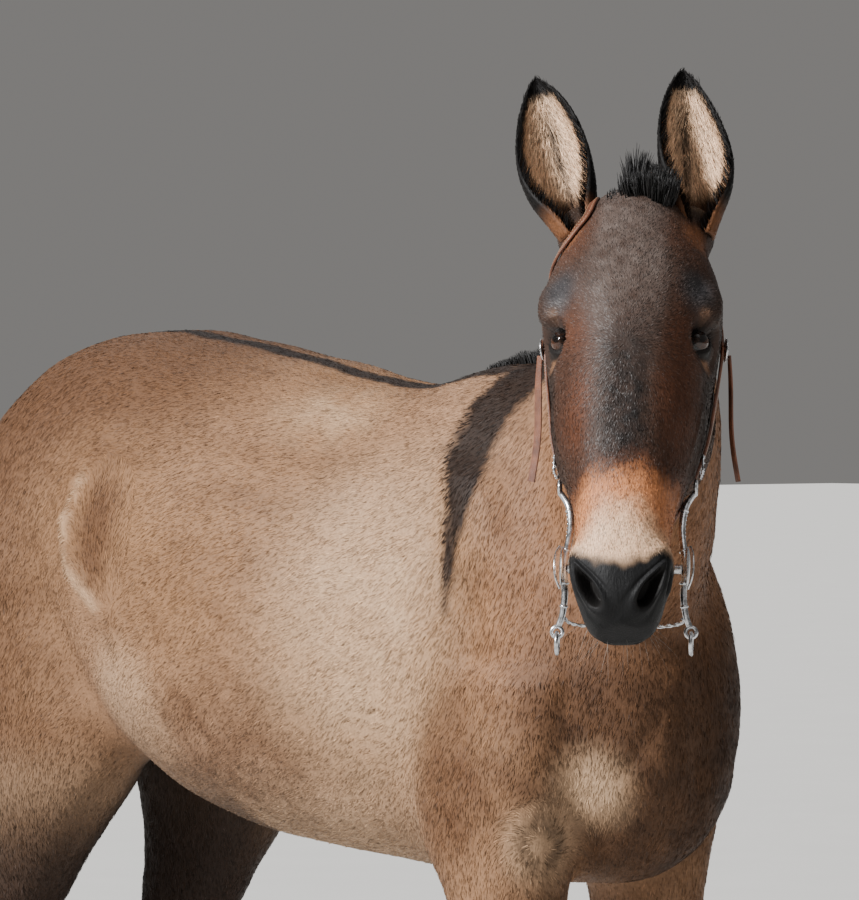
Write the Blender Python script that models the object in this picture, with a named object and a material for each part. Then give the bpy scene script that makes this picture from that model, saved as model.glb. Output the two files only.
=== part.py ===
# A mule standing with its head turned towards its right, life size, in metres.
# It faces -Y, its own left is +X, +Z is up and its soles stand on z = 0.
# The body is modelled whole in the mule's own frame, parted with thin cuts,
# and moved at the end so that the middle of its box stands over the origin.
import math
import random

import bmesh
import bpy
from mathutils import Matrix, Vector
from mathutils.bvhtree import BVHTree

# Driving dimensions, in metres
GAP = 0.0003                # left between pieces that touch
WITHERS = 1.507             # height at the withers
CROUP = 1.555               # height of the croup, higher than the withers
BARREL = 0.300              # half width of the barrel
POLL = Vector((-0.335, -0.500, 1.700))
HEAD_TURN = math.radians(46)    # heading of the face, from straight ahead to its right
HEAD_LEAN = math.radians(30)    # how far the nose is carried forward of plumb
STANCE_TOP = 1.15           # the legs swing from this height
STANCE = {"foreleg_right": -0.070, "foreleg_left": 0.060, "hindleg_right": 0.090, "hindleg_left": -0.080}

EYE_RADIUS = 0.0205
EYE_PLACE = (0.186, -0.046, 0.0735)      # down the face, out of it, to the side
LID_THICKNESS = 0.0035

EAR_LENGTH = 0.216
EAR_SINK = 0.014            # how deep its root is set
EAR_CURVE = 0.012

VOXEL = 0.0062              # grid of the whole flesh
HEAD_REACH = 0.36           # round the middle of the head
CALM_BELOW = 0.62           # height of the legs that keep their form
FLESH_TRIANGLES = 5850
HEAD_SHARE = 0.03           # how strongly the head keeps its triangles
MERGE = 0.000002            # points closer than this become one
SHELL = "flesh_shell"       # the whole flesh, a gap larger, that other pieces are cut by
FAR = 3.0                   # size of the blocks that part the flesh
CLEARANCE = 1.3 * GAP       # faceted pieces stand off a little more
STEADY = "MANIFOLD"         # for cuts by curved pieces, where the exact solver leaves holes

MANE_HEIGHT = 0.050
STRAP_WIDTH = 0.018
STRAP_THICKNESS = 0.0030     # half of it, with the part that the hair takes up
CONCHO_RADIUS = 0.015
RING_RADIUS = 0.0125
RING_WIRE = 0.0026

COLOURS = {
    "coat": ((0.24, 0.165, 0.11), 0.75, 0.0),
    "dark_coat": ((0.06, 0.045, 0.038), 0.7, 0.0),
    "hair": ((0.012, 0.011, 0.011), 0.6, 0.0),
    "hoof": ((0.075, 0.066, 0.058), 0.5, 0.0),
    "eye": ((0.02, 0.011, 0.007), 0.08, 0.0),
    "leather": ((0.17, 0.07, 0.035), 0.5, 0.0),
    "silver": ((0.74, 0.73, 0.70), 0.25, 1.0),
}


# Helpers for meshes and objects

def material(slot):
    if slot in bpy.data.materials:
        return bpy.data.materials[slot]
    colour, roughness, metallic = COLOURS[slot]
    made = bpy.data.materials.new(slot)
    made.use_nodes = True
    shader = made.node_tree.nodes["Principled BSDF"]
    shader.inputs["Base Color"].default_value = (*colour, 1.0)
    shader.inputs["Roughness"].default_value = roughness
    shader.inputs["Metallic"].default_value = metallic
    return made


def finished(name, bm, slot=None):
    """Turn a bmesh into an object whose faces point outwards."""
    bmesh.ops.recalc_face_normals(bm, faces=bm.faces)
    mesh = bpy.data.meshes.new(name)
    bm.to_mesh(mesh)
    bm.free()
    piece = bpy.data.objects.new(name, mesh)
    bpy.context.collection.objects.link(piece)
    if slot:
        mesh.materials.append(material(slot))
    return piece


def drop(piece):
    bpy.data.objects.remove(piece)


def copied(piece, name="copy"):
    twin = bpy.data.objects.new(name, piece.data.copy())
    bpy.context.collection.objects.link(twin)
    return twin


def applied(piece):
    """Replace the mesh by the result of the piece's modifiers."""
    bpy.context.view_layer.update()
    graph = bpy.context.evaluated_depsgraph_get()
    mesh = bpy.data.meshes.new_from_object(piece.evaluated_get(graph))
    piece.modifiers.clear()
    piece.data = mesh
    return piece


def combine(piece, other, operation, solver="EXACT"):
    """Cut or join a piece by another one, which is then removed."""
    modifier = piece.modifiers.new("combine", "BOOLEAN")
    modifier.operation = operation
    modifier.solver = solver
    modifier.object = other
    other.hide_render = True
    other.display_type = "WIRE"
    applied(piece)
    drop(other)
    return piece


def fuse(name, pieces):
    """Join closed pieces into one body with one union on a collection."""
    group = bpy.data.collections.new(name)
    bpy.context.scene.collection.children.link(group)
    for piece in pieces[1:]:
        bpy.context.collection.objects.unlink(piece)
        group.objects.link(piece)
    body = pieces[0]
    body.name = name
    modifier = body.modifiers.new("fuse", "BOOLEAN")
    modifier.operation = "UNION"
    modifier.operand_type = "COLLECTION"
    modifier.solver = STEADY
    modifier.collection = group
    applied(body)
    for piece in pieces[1:]:
        drop(piece)
    bpy.data.collections.remove(group)
    return keep_largest(body)


def keep_largest(piece):
    """Keep the largest closed surface, which drops scraps and sealed hollows."""
    bm = bmesh.new()
    bm.from_mesh(piece.data)
    bmesh.ops.remove_doubles(bm, verts=bm.verts, dist=MERGE)
    bm.faces.ensure_lookup_table()
    seen = set()
    islands = []
    for face in bm.faces:
        if face in seen:
            continue
        island = []
        waiting = [face]
        seen.add(face)
        while waiting:
            current = waiting.pop()
            island.append(current)
            for edge in current.edges:
                for neighbour in edge.link_faces:
                    if neighbour not in seen:
                        seen.add(neighbour)
                        waiting.append(neighbour)
        islands.append(island)
    islands.sort(key=lambda island: sum(face.calc_area() for face in island))
    loose = [face for island in islands[:-1] for face in island]
    if loose:
        bmesh.ops.delete(bm, geom=loose, context="FACES")
    bmesh.ops.triangulate(bm, faces=bm.faces)
    bm.to_mesh(piece.data)
    bm.free()
    return piece


def inflated(piece, amount):
    """A copy whose surface stands out by a small amount."""
    twin = copied(piece)
    bm = bmesh.new()
    bm.from_mesh(twin.data)
    bm.normal_update()
    moves = [(vertex, vertex.normal * amount) for vertex in bm.verts]
    for vertex, move in moves:
        vertex.co += move
    bm.to_mesh(twin.data)
    bm.free()
    return twin


def cleared(piece, *neighbours):
    """Cut a piece back until it meets its neighbours with a thin gap."""
    for neighbour in neighbours:
        shell = copied(neighbour) if neighbour.name == SHELL else inflated(neighbour, CLEARANCE)
        combine(piece, shell, "DIFFERENCE", STEADY)
    return keep_largest(piece)


# Helpers for shapes

def spline(before, start, end, after, share):
    """A point of the smooth curve that runs through start and end."""
    return 0.5 * (2 * start + (end - before) * share
                  + (2 * before - 5 * start + 4 * end - after) * share ** 2
                  + (3 * start - before - 3 * end + after) * share ** 3)


def eased(rows, steps):
    """Rows of numbers, with smooth rows worked out between them."""
    last = len(rows) - 1
    result = []
    for index in range(last):
        around = (rows[max(index - 1, 0)], rows[index], rows[index + 1], rows[min(index + 2, last)])
        for step in range(steps):
            result.append(tuple(spline(*column, step / steps) for column in zip(*around)))
    result.append(tuple(rows[last]))
    return result


def outline(half_width, low, high, widest, power_low=2.0, power_high=2.0, count=28):
    """An egg-shaped section: across and up for each point."""
    points = []
    for index in range(count):
        angle = 2 * math.pi * index / count
        across = math.cos(angle)
        up = math.sin(angle)
        power = power_high if up > 0 else power_low
        reach = high - widest if up > 0 else widest - low
        points.append((half_width * math.copysign(abs(across) ** (2 / power), across),
                       widest + reach * math.copysign(abs(up) ** (2 / power), up)))
    return points


def skin_rings(bm, rings):
    """Close a row of rings of points into a solid."""
    loops = [[bm.verts.new(point) for point in ring] for ring in rings]
    count = len(loops[0])
    for first, second in zip(loops, loops[1:]):
        for index in range(count):
            following = (index + 1) % count
            bm.faces.new((first[index], first[following], second[following], second[index]))
    bm.faces.new(list(reversed(loops[0])))
    bm.faces.new(loops[-1])


def ellipsoid(bm, centre, radii, turn=None, segments=20, rings=12):
    """A closed ellipsoid; turn is a 3 x 3 matrix whose columns are its axes."""
    place = Matrix.Translation(centre)
    if turn:
        place = place @ turn.to_4x4()
    bmesh.ops.create_uvsphere(bm, u_segments=segments, v_segments=rings, radius=1.0,
                              matrix=place @ Matrix.Diagonal((*radii, 1.0)))


def columns(first, second, third):
    return Matrix((first, second, third)).transposed()


def corners(half_width, half_thickness):
    """The four corners of a strap's section."""
    return [(half_width, half_thickness), (-half_width, half_thickness),
            (-half_width, -half_thickness), (half_width, -half_thickness)]


def swept(bm, path, sides, halves, power=2.0, count=8):
    """A band or rod along a path; sides holds each point's width direction,
    halves its half width and half thickness."""
    rings = []
    for index, point in enumerate(path):
        ahead = path[min(index + 1, len(path) - 1)] - path[max(index - 1, 0)]
        ahead.normalize()
        side = sides[index] - ahead * sides[index].dot(ahead)
        side.normalize()
        up = ahead.cross(side)
        width, thickness = halves[index]
        section = (corners(width, thickness) if count == 4
                   else outline(width, -thickness, thickness, 0, power, power, count))
        rings.append([point + side * across + up * high for across, high in section])
    skin_rings(bm, rings)


def block(point, normal, size=FAR):
    """A large block whose one face passes through a point, on the normal's side."""
    bm = bmesh.new()
    normal = Vector(normal).normalized()
    turn = normal.to_track_quat("Z", "Y").to_matrix().to_4x4()
    place = Matrix.Translation(Vector(point) + normal * size / 2) @ turn
    bmesh.ops.create_cube(bm, size=size, matrix=place)
    return finished("block", bm)


# The frame of the head: down the face, out of it and to the animal's left
FACING = Vector((-math.sin(HEAD_TURN), -math.cos(HEAD_TURN), 0))
DOWN_FACE = FACING * math.sin(HEAD_LEAN) + Vector((0, 0, -math.cos(HEAD_LEAN)))
OUT_OF_FACE = FACING * math.cos(HEAD_LEAN) + Vector((0, 0, math.sin(HEAD_LEAN)))
HEAD_LEFT = Vector((math.cos(HEAD_TURN), -math.sin(HEAD_TURN), 0))
HEAD_AXES = columns(DOWN_FACE, OUT_OF_FACE, HEAD_LEFT)


def on_head(down, out, left):
    return POLL + DOWN_FACE * down + OUT_OF_FACE * out + HEAD_LEFT * left


def head_direction(down, out, left):
    return (DOWN_FACE * down + OUT_OF_FACE * out + HEAD_LEFT * left).normalized()


# The flesh

# along y: top, belly, half width, height of the widest place, power below and above
TORSO = [
    (-0.265, 1.120, 0.940, 0.055, 1.03, 2.0, 2.0),
    (-0.225, 1.230, 0.865, 0.112, 1.05, 2.0, 2.0),
    (-0.145, 1.370, 0.822, 0.158, 1.06, 2.0, 2.0),
    (-0.030, 1.460, 0.812, 0.190, 1.08, 2.1, 1.9),
    (0.080, WITHERS, 0.812, 0.215, 1.11, 2.2, 1.7),
    (0.260, 1.476, 0.822, 0.262, 1.12, 2.2, 1.8),
    (0.490, 1.512, 0.842, BARREL, 1.13, 2.2, 2.05),
    (0.675, 1.538, 0.885, 0.290, 1.17, 2.1, 2.2),
    (0.800, CROUP, 0.950, 0.262, 1.24, 2.0, 2.2),
    (0.950, 1.545, 1.000, 0.245, 1.28, 2.0, 2.1),
    (1.080, 1.490, 1.020, 0.205, 1.28, 2.0, 2.0),
    (1.170, 1.405, 1.050, 0.150, 1.25, 2.0, 2.0),
    (1.235, 1.300, 1.120, 0.075, 1.21, 2.0, 2.0),
]

# the middle line of the neck: x, y, z, half height, half width
NECK = [
    (0.000, 0.080, 1.220, 0.270, 0.110),
    (0.000, -0.020, 1.265, 0.262, 0.118),
    (-0.025, -0.150, 1.340, 0.222, 0.104),
    (-0.120, -0.310, 1.445, 0.166, 0.082),
    (-0.215, -0.395, 1.530, 0.135, 0.074),
    (-0.262, -0.430, 1.600, 0.118, 0.072),
]

# down the head: forehead line, jaw line, half width, widest place, power below and above
HEAD = [
    (-0.045, -0.060, -0.110, 0.030, -0.080, 2.0, 2.0),
    (-0.010, -0.012, -0.150, 0.062, -0.080, 2.0, 2.0),
    (0.066, 0.014, -0.205, 0.094, -0.070, 1.9, 2.1),
    (0.126, 0.026, -0.245, 0.110, -0.065, 1.8, 2.1),
    (0.190, 0.029, -0.262, 0.103, -0.085, 1.9, 2.0),
    (0.242, 0.026, -0.250, 0.096, -0.085, 1.9, 2.1),
    (0.293, 0.021, -0.220, 0.091, -0.080, 1.9, 2.2),
    (0.335, 0.016, -0.190, 0.080, -0.070, 1.9, 2.2),
    (0.376, 0.011, -0.166, 0.069, -0.065, 2.0, 2.3),
    (0.410, 0.007, -0.150, 0.059, -0.060, 2.0, 2.4),
    (0.450, 0.002, -0.138, 0.056, -0.060, 2.1, 2.4),
    (0.490, -0.002, -0.130, 0.057, -0.060, 2.2, 2.4),
    (0.525, -0.010, -0.126, 0.051, -0.065, 2.4, 2.3),
    (0.548, -0.024, -0.120, 0.043, -0.068, 2.4, 2.2),
    (0.562, -0.044, -0.108, 0.030, -0.070, 2.2, 2.0),
]

# down the legs: height, front, back, half width, distance from the middle
FORELEG = [
    (1.100, -0.170, 0.130, 0.070, 0.135),
    (0.970, -0.155, 0.138, 0.082, 0.140),
    (0.880, -0.130, 0.115, 0.080, 0.140),
    (0.800, -0.118, 0.072, 0.070, 0.140),
    (0.700, -0.102, 0.046, 0.058, 0.138),
    (0.600, -0.088, 0.026, 0.048, 0.135),
    (0.530, -0.083, 0.020, 0.043, 0.134),
    (0.465, -0.090, 0.022, 0.048, 0.133),
    (0.415, -0.083, 0.010, 0.040, 0.132),
    (0.360, -0.073, 0.004, 0.030, 0.131),
    (0.250, -0.070, 0.006, 0.028, 0.130),
    (0.205, -0.076, 0.016, 0.036, 0.130),
    (0.175, -0.082, 0.012, 0.037, 0.130),
    (0.130, -0.097, -0.020, 0.032, 0.130),
    (0.095, -0.115, -0.026, 0.040, 0.130),
    (0.075, -0.124, -0.030, 0.045, 0.130),
    (0.030, -0.130, -0.040, 0.045, 0.130),
]

HINDLEG = [
    (1.350, 0.740, 1.170, 0.100, 0.130),
    (1.220, 0.720, 1.212, 0.116, 0.138),
    (1.100, 0.700, 1.198, 0.118, 0.144),
    (1.000, 0.705, 1.165, 0.108, 0.149),
    (0.930, 0.735, 1.138, 0.096, 0.149),
    (0.850, 0.808, 1.122, 0.080, 0.147),
    (0.770, 0.878, 1.120, 0.066, 0.144),
    (0.690, 0.942, 1.136, 0.052, 0.141),
    (0.630, 0.982, 1.158, 0.045, 0.139),
    (0.585, 1.005, 1.178, 0.045, 0.138),
    (0.530, 1.015, 1.158, 0.048, 0.137),
    (0.470, 1.034, 1.140, 0.041, 0.136),
    (0.400, 1.052, 1.130, 0.031, 0.135),
    (0.270, 1.060, 1.132, 0.029, 0.134),
    (0.210, 1.053, 1.145, 0.037, 0.134),
    (0.180, 1.048, 1.142, 0.038, 0.134),
    (0.130, 1.030, 1.106, 0.033, 0.134),
    (0.095, 1.012, 1.098, 0.040, 0.134),
    (0.075, 1.003, 1.094, 0.045, 0.134),
    (0.030, 0.997, 1.084, 0.045, 0.134),
]


def torso_form(bm):
    rings = []
    for y, top, belly, half_width, widest, low, high in eased(TORSO, 4):
        rings.append([(across, y, up)
                      for across, up in outline(half_width, belly, top, widest, low, high, 36)])
    skin_rings(bm, rings)


def neck_form(bm):
    rows = eased(NECK, 4)
    rings = []
    for index, (x, y, z, half_height, half_width) in enumerate(rows):
        ahead = Vector(rows[min(index + 1, len(rows) - 1)][:3]) - Vector(rows[max(index - 1, 0)][:3])
        ahead.normalize()
        side = ahead.cross(Vector((0, 0, 1))).normalized()
        up = side.cross(ahead)
        rings.append([Vector((x, y, z)) + side * across + up * high
                      for across, high in outline(half_width, -half_height, half_height,
                                                  -0.15 * half_height, 2.1, 1.7, 28)])
    skin_rings(bm, rings)


def head_form(bm):
    rings = []
    for down, forehead, jaw, half_width, widest, low, high in eased(HEAD, 4):
        rings.append([on_head(down, out, left)
                      for left, out in outline(half_width, jaw, forehead, widest, low, high, 36)])
    skin_rings(bm, rings)


def leg_form(bm, rows, side, swing):
    rings = []
    for z, front, back, half_width, spread in eased(rows, 3):
        middle = (front + back) / 2
        shift = swing * max(STANCE_TOP - z, 0) / STANCE_TOP
        section = outline(half_width, front - middle, back - middle, 0, 2.1, 2.1, 24)
        rings.append([(side * spread + across, middle + shift + along, z) for across, along in section])
    skin_rings(bm, rings)


# muscles and bones that shape the surface: centre, radii, lean about x in degrees,
# each on both sides
BODY_FORMS = [
    ((0.134, -0.025, 1.150), (0.056, 0.105, 0.245), -22),     # shoulder blade
    ((0.142, 0.025, 1.010), (0.056, 0.110, 0.150), 25),       # upper arm
    ((0.062, -0.170, 1.000), (0.065, 0.070, 0.125), 0),       # breast
    ((0.188, 0.720, 1.370), (0.055, 0.095, 0.080), 0),        # point of the hip
    ((0.160, 0.960, 1.200), (0.108, 0.190, 0.200), -20),      # thigh
    ((0.180, 0.690, 1.040), (0.030, 0.080, 0.060), -30),      # fold of the flank
    ((0.070, 1.150, 1.200), (0.072, 0.085, 0.170), 8),        # buttock
]

# on the head, down, out, to the side, with radii: each on both sides
HEAD_FORMS = [
    ((0.145, -0.030, 0.090), (0.042, 0.022, 0.023)),      # brow
    ((0.215, -0.155, 0.055), (0.110, 0.105, 0.042)),      # cheek
    ((0.285, -0.075, 0.072), (0.085, 0.014, 0.017)),      # ridge below the eye
    ((0.492, -0.046, 0.044), (0.042, 0.036, 0.020)),      # wing of the nostril
    ((0.015, -0.075, 0.066), (0.040, 0.034, 0.032)),      # root of the ear
]
MUZZLE_FORMS = [
    ((0.522, -0.062, 0.0), (0.040, 0.046, 0.047)),        # upper lip
    ((0.508, -0.110, 0.0), (0.044, 0.026, 0.036)),        # chin
]


def whole_flesh():
    bm = bmesh.new()
    torso_form(bm)
    neck_form(bm)
    head_form(bm)
    for side, name in ((-1, "right"), (1, "left")):
        leg_form(bm, FORELEG, side, STANCE["foreleg_" + name])
        leg_form(bm, HINDLEG, side, STANCE["hindleg_" + name])
        for (x, y, z), radii, lean in BODY_FORMS:
            ellipsoid(bm, (side * x, y, z), radii, Matrix.Rotation(math.radians(lean), 3, "X"))
        for (down, out, left), radii in HEAD_FORMS:
            ellipsoid(bm, on_head(down, out, side * left), radii, HEAD_AXES)
    for place, radii in MUZZLE_FORMS:
        ellipsoid(bm, on_head(*place), radii, HEAD_AXES)
    flesh = finished("flesh", bm)

    remesh = flesh.modifiers.new("grid", "REMESH")
    remesh.mode = "VOXEL"
    remesh.voxel_size = VOXEL
    applied(flesh)
    soften(flesh)
    part_triangles(flesh)
    return flesh


def on_the_head(point):
    return (point - on_head(0.25, -0.1, 0)).length < HEAD_REACH and point.y < -0.34


def soften(flesh):
    """Smooth the joins: much on the body, less on the head and the lower legs."""
    group = flesh.vertex_groups.new(name="soft")
    for vertex in flesh.data.vertices:
        weight = 0.25 if on_the_head(vertex.co) or vertex.co.z < CALM_BELOW else 1.0
        group.add([vertex.index], weight, "REPLACE")
    smooth = flesh.modifiers.new("smooth", "SMOOTH")
    smooth.factor = 0.6
    smooth.iterations = 14
    smooth.vertex_group = "soft"
    applied(flesh)


def part_triangles(flesh):
    """Bring the flesh down to its triangles, with more of them left on the head."""
    group = flesh.vertex_groups.new(name="coarse")
    for vertex in flesh.data.vertices:
        group.add([vertex.index], 0.9 if on_the_head(vertex.co) else 1.0, "REPLACE")
    before = sum(len(polygon.vertices) - 2 for polygon in flesh.data.polygons)
    decimate = flesh.modifiers.new("decimate", "DECIMATE")
    decimate.ratio = FLESH_TRIANGLES / before
    decimate.vertex_group = "coarse"
    decimate.vertex_group_factor = HEAD_SHARE
    applied(flesh)
    unfold(flesh)


def unfold(flesh):
    """Open the few triangles that the coarser mesh folds over."""
    bm = bmesh.new()
    bm.from_mesh(flesh.data)
    bmesh.ops.triangulate(bm, faces=bm.faces)
    spikes = [vertex for vertex in bm.verts if len(vertex.link_faces) == 3]
    bmesh.ops.dissolve_verts(bm, verts=spikes)
    bmesh.ops.triangulate(bm, faces=bm.faces)
    for turn in range(30):
        bm.normal_update()
        folded = [vertex for vertex in bm.verts
                  if min(face.normal.dot(vertex.normal) for face in vertex.link_faces) < 0.25]
        if not folded:
            break
        bmesh.ops.smooth_vert(bm, verts=folded, factor=0.5,
                              use_axis_x=True, use_axis_y=True, use_axis_z=True)
    bm.to_mesh(flesh.data)
    bm.free()


# Parting the flesh: each side of a cut stands back by half the gap

NECK_CUT = (Vector((0, 0.0, 1.48)), Vector((0, -0.835, 0.549)).normalized())
HEAD_CUT = (on_head(-0.03, -0.11, 0), -head_direction(-0.697, -0.717, 0))
HEAD_FLOOR = (Vector((0, 0, 1.05)), Vector((0, 0, 1)))
ELBOW = (0.80, 0.575, 0.150)        # height at the middle, rise to the side, back end
THIGH_POINTS = (Vector((0.22, 0.66, 1.06)), Vector((0, 0.86, 0.95)), Vector((0.08, 1.25, 1.28)))
THIGH_FRONT = 0.655


def kept(piece, plane, shift=0.0, flip=False):
    """Keep the part of a piece on a plane's side, or on its other side."""
    point, normal = plane
    if flip:
        normal = -normal
    return combine(piece, block(point + normal * (GAP / 2 - shift), normal), "INTERSECT")


def mirrored(vector, side):
    return Vector((side * vector.x, vector.y, vector.z))


def leg_planes(side, hind):
    """The planes that hold a leg: each has its normal towards the leg."""
    middle = (Vector((0, 0, 0)), Vector((side, 0, 0)))
    if hind:
        first, second, third = (mirrored(point, side) for point in THIGH_POINTS)
        normal = (second - first).cross(third - first).normalized() * side
        front = (Vector((0, THIGH_FRONT, 0)), Vector((0, 1, 0)))
        return [middle, (first, normal), front]
    height, rise, back = ELBOW
    slope = (Vector((0, 0, height)), Vector((side * rise, 0, -1)).normalized())
    rear = (Vector((0, back, 0)), Vector((0, -1, 0)))
    return [middle, slope, rear]


def leg_block(side, hind):
    """The space that a leg takes out of the torso, a little past the middle."""
    planes = leg_planes(side, hind)
    point, normal = planes[0]
    region = block(point - normal * 2 * GAP, normal)
    for point, normal in planes[1:]:
        combine(region, block(point - normal * GAP / 2, normal), "INTERSECT")
    return region


def parted(flesh):
    """Cut the flesh into the head, the neck, the torso and four legs."""
    nodes = {}
    head = copied(flesh, "head")
    nodes["head"] = kept(kept(head, HEAD_CUT), HEAD_FLOOR)
    neck = copied(flesh, "neck")
    nodes["neck"] = kept(kept(neck, HEAD_CUT, flip=True), NECK_CUT)
    torso = kept(copied(flesh, "torso"), NECK_CUT, flip=True)
    for side, name in ((-1, "right"), (1, "left")):
        for kind, hind in (("foreleg_", False), ("hindleg_", True)):
            leg = copied(flesh, kind + name)
            for plane in leg_planes(side, hind):
                kept(leg, plane)
            nodes[kind + name] = leg
            combine(torso, leg_block(side, hind), "DIFFERENCE")
    nodes["torso"] = torso
    drop(flesh)
    for name, node in nodes.items():
        keep_largest(node)
        node.data.name = name
        node.data.materials.clear()
        node.data.materials.append(material("coat"))
    return nodes


# The head's openings

def eye_frame(side):
    """Where an eyeball looks, and the long axis of its lids."""
    outward = head_direction(-0.10, 0.50, 0.86 * side)
    length = head_direction(math.cos(math.radians(35)), math.sin(math.radians(35)), -0.25 * side)
    length = (length - outward * length.dot(outward)).normalized()
    return outward, length, outward.cross(length)


def lids(head, side):
    """A rim round the eyeball, with an almond opening."""
    down, out, left = EYE_PLACE
    centre = on_head(down, out, side * left)
    outward, length, width = eye_frame(side)
    axes = columns(length, width, outward)

    rim = bmesh.new()
    ellipsoid(rim, centre, (EYE_RADIUS + LID_THICKNESS,) * 3, axes, 16, 10)
    combine(head, finished("rim", rim), "UNION", STEADY)

    hollow = bmesh.new()
    ellipsoid(hollow, centre, (EYE_RADIUS + 3 * GAP,) * 3, axes, 16, 10)
    combine(head, finished("hollow", hollow), "DIFFERENCE", STEADY)

    opening = bmesh.new()
    near = []
    for index in range(16):
        angle = 2 * math.pi * index / 16
        sharp = abs(math.sin(angle)) ** 1.3 * math.copysign(1, math.sin(angle))
        near.append(centre + length * 0.0185 * math.cos(angle) + width * 0.0115 * sharp
                    + outward * 0.004)
    skin_rings(opening, [near, [point + outward * 0.06 for point in near]])
    combine(head, finished("opening", opening), "DIFFERENCE", STEADY)


def nostril(head, side):
    """A comma-shaped hole that slants in and up."""
    bm = bmesh.new()
    axes = columns(head_direction(0.92, -0.30, 0.22 * side), head_direction(0.30, 0.90, -0.2 * side),
                   head_direction(-0.25, 0.2, 0.95 * side))
    ellipsoid(bm, on_head(0.507, -0.046, side * 0.060), (0.023, 0.0095, 0.016), axes, 14, 10)
    combine(head, finished("nostril", bm), "DIFFERENCE", STEADY)


def mouth_line(head):
    """The slit between the lips, round the muzzle from corner to corner."""
    bm = bmesh.new()
    path = []
    for index in range(17):
        turn = math.pi * (index / 16 - 0.5)
        reach = math.cos(turn)
        path.append(on_head(0.462 + 0.103 * reach ** 0.8, -0.094 - 0.004 * reach,
                            0.056 * math.sin(turn)))
    sides = []
    for point in path:
        away = point - on_head(0.47, -0.095, 0)
        sides.append(away.normalized())
    swept(bm, path, sides, [(0.012, 0.0017)] * len(path), 2.0, 8)
    combine(head, finished("mouth", bm), "DIFFERENCE", STEADY)


def finish_head(head, bit):
    keep_largest(head)
    for side in (-1, 1):
        lids(head, side)
        nostril(head, side)
    mouth_line(head)
    combine(head, inflated(bit, CLEARANCE), "DIFFERENCE", STEADY)
    keep_largest(head)


def eyeball(side, name):
    down, out, left = EYE_PLACE
    bm = bmesh.new()
    outward, length, width = eye_frame(side)
    centre = on_head(down, out, side * left)
    ellipsoid(bm, centre, (EYE_RADIUS,) * 3, columns(length, width, outward), 12, 8)
    return finished("eye_" + name, bm, "eye")


# The ears: base and tip in the mule's frame, down, out, left on the head for the base

EAR_BASE = (0.012, -0.072, 0.068)
EAR_TIPS = {-1: Vector((0.0185, 0.102, 0.190)), 1: Vector((0.0501, 0.069, 0.195))}
EAR_OPENS = {-1: Vector((-0.70, -0.66, 0.28)), 1: Vector((-0.50, -0.80, 0.28))}

# along the ear: half width, half angle of the cup in degrees, wall
EAR_SECTIONS = [
    (0.00, 0.0250, 152, 0.0050),
    (0.12, 0.0320, 140, 0.0045),
    (0.28, 0.0430, 120, 0.0042),
    (0.46, 0.0465, 104, 0.0040),
    (0.64, 0.0420, 92, 0.0036),
    (0.80, 0.0320, 84, 0.0032),
    (0.92, 0.0190, 78, 0.0026),
    (0.98, 0.0090, 74, 0.0020),
    (1.00, 0.0035, 70, 0.0014),
]


def ear(side, name, shell):
    base = on_head(EAR_BASE[0], EAR_BASE[1], side * EAR_BASE[2])
    axis = EAR_TIPS[side].normalized()
    opens = EAR_OPENS[side]
    opens = (opens - axis * opens.dot(axis)).normalized()
    across = axis.cross(opens)
    bm = bmesh.new()
    rings = []
    for share, half_width, half_angle, wall in EAR_SECTIONS:
        angle = math.radians(half_angle)
        radius = half_width / math.sin(min(angle, math.pi / 2))
        bend = EAR_CURVE * math.sin(math.pi * share) * (1 - share)
        middle = base + axis * (EAR_LENGTH * share - EAR_SINK * (1 - share)) + across * side * bend
        depth = 0.62 + 0.38 * (1 - share)
        ring = []
        steps = 7
        for layer, reach in ((1, radius), (-1, radius - wall)):
            for index in range(steps + 1):
                turn = layer * angle * (2 * index / steps - 1)
                ring.append(middle + across * reach * math.sin(turn)
                            - opens * (reach * math.cos(turn) - radius * 0.4) * depth)
        rings.append(ring)
    skin_rings(bm, rings)
    return cleared(finished("ear_" + name, bm, "dark_coat"), shell)


# Hooves

# kind: front and back of the coronet, half width, swing height
HOOF_FORE = (-0.1265, -0.0275, 0.0475, 0.130)
HOOF_HIND = (1.0005, 1.0970, 0.0475, 0.134)
CORONET = (0.082, 0.046)        # height at the front and at the back
TOE_REACH = 0.044               # how far the toe stands before the coronet
SOLE_SPREAD = 0.0060            # how far the sole stands outside the coronet


def hoof_plane(front, back):
    """The slanted plane of the coronet."""
    rise = (CORONET[1] - CORONET[0]) / (back - front)
    normal = Vector((0, -rise, 1)).normalized()
    return Vector((0, front, CORONET[0])), normal


def hoof(kind, side, name, leg):
    front, back, half_width, spread = HOOF_HIND if kind == "hind" else HOOF_FORE
    shift = STANCE[kind_name(kind) + name] * (STANCE_TOP - 0.065) / STANCE_TOP
    front += shift
    back += shift
    point, normal = hoof_plane(front, back)
    kept(leg, (point, normal))
    keep_largest(leg)
    middle = (front + back) / 2
    length = (back - front) / 2
    rings = []
    for level in range(4):
        drop_share = level / 3
        ring = []
        section = outline(half_width + SOLE_SPREAD * drop_share, -length, length, 0, 2.3, 2.2, 20)
        for across, along in section:
            y = middle + along
            top = CORONET[0] + (CORONET[1] - CORONET[0]) * (y - front) / (back - front)
            forward = TOE_REACH * (0.62 - 0.38 * along / length)
            ring.append((side * spread + across, y - forward * drop_share,
                         (top - GAP / 2) * (1 - drop_share)))
        rings.append(ring)
    bm = bmesh.new()
    skin_rings(bm, rings)
    return finished("hoof_" + kind + "_" + name, bm, "hoof")


def kind_name(kind):
    return "hindleg_" if kind == "hind" else "foreleg_"


# Mane, forelock and tail

LOCK_TAPER = 2.6            # higher keeps a lock broad for longer
LOCK_TIP = 0.14             # share of the width that is left at the tip
SEED = 11

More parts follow.
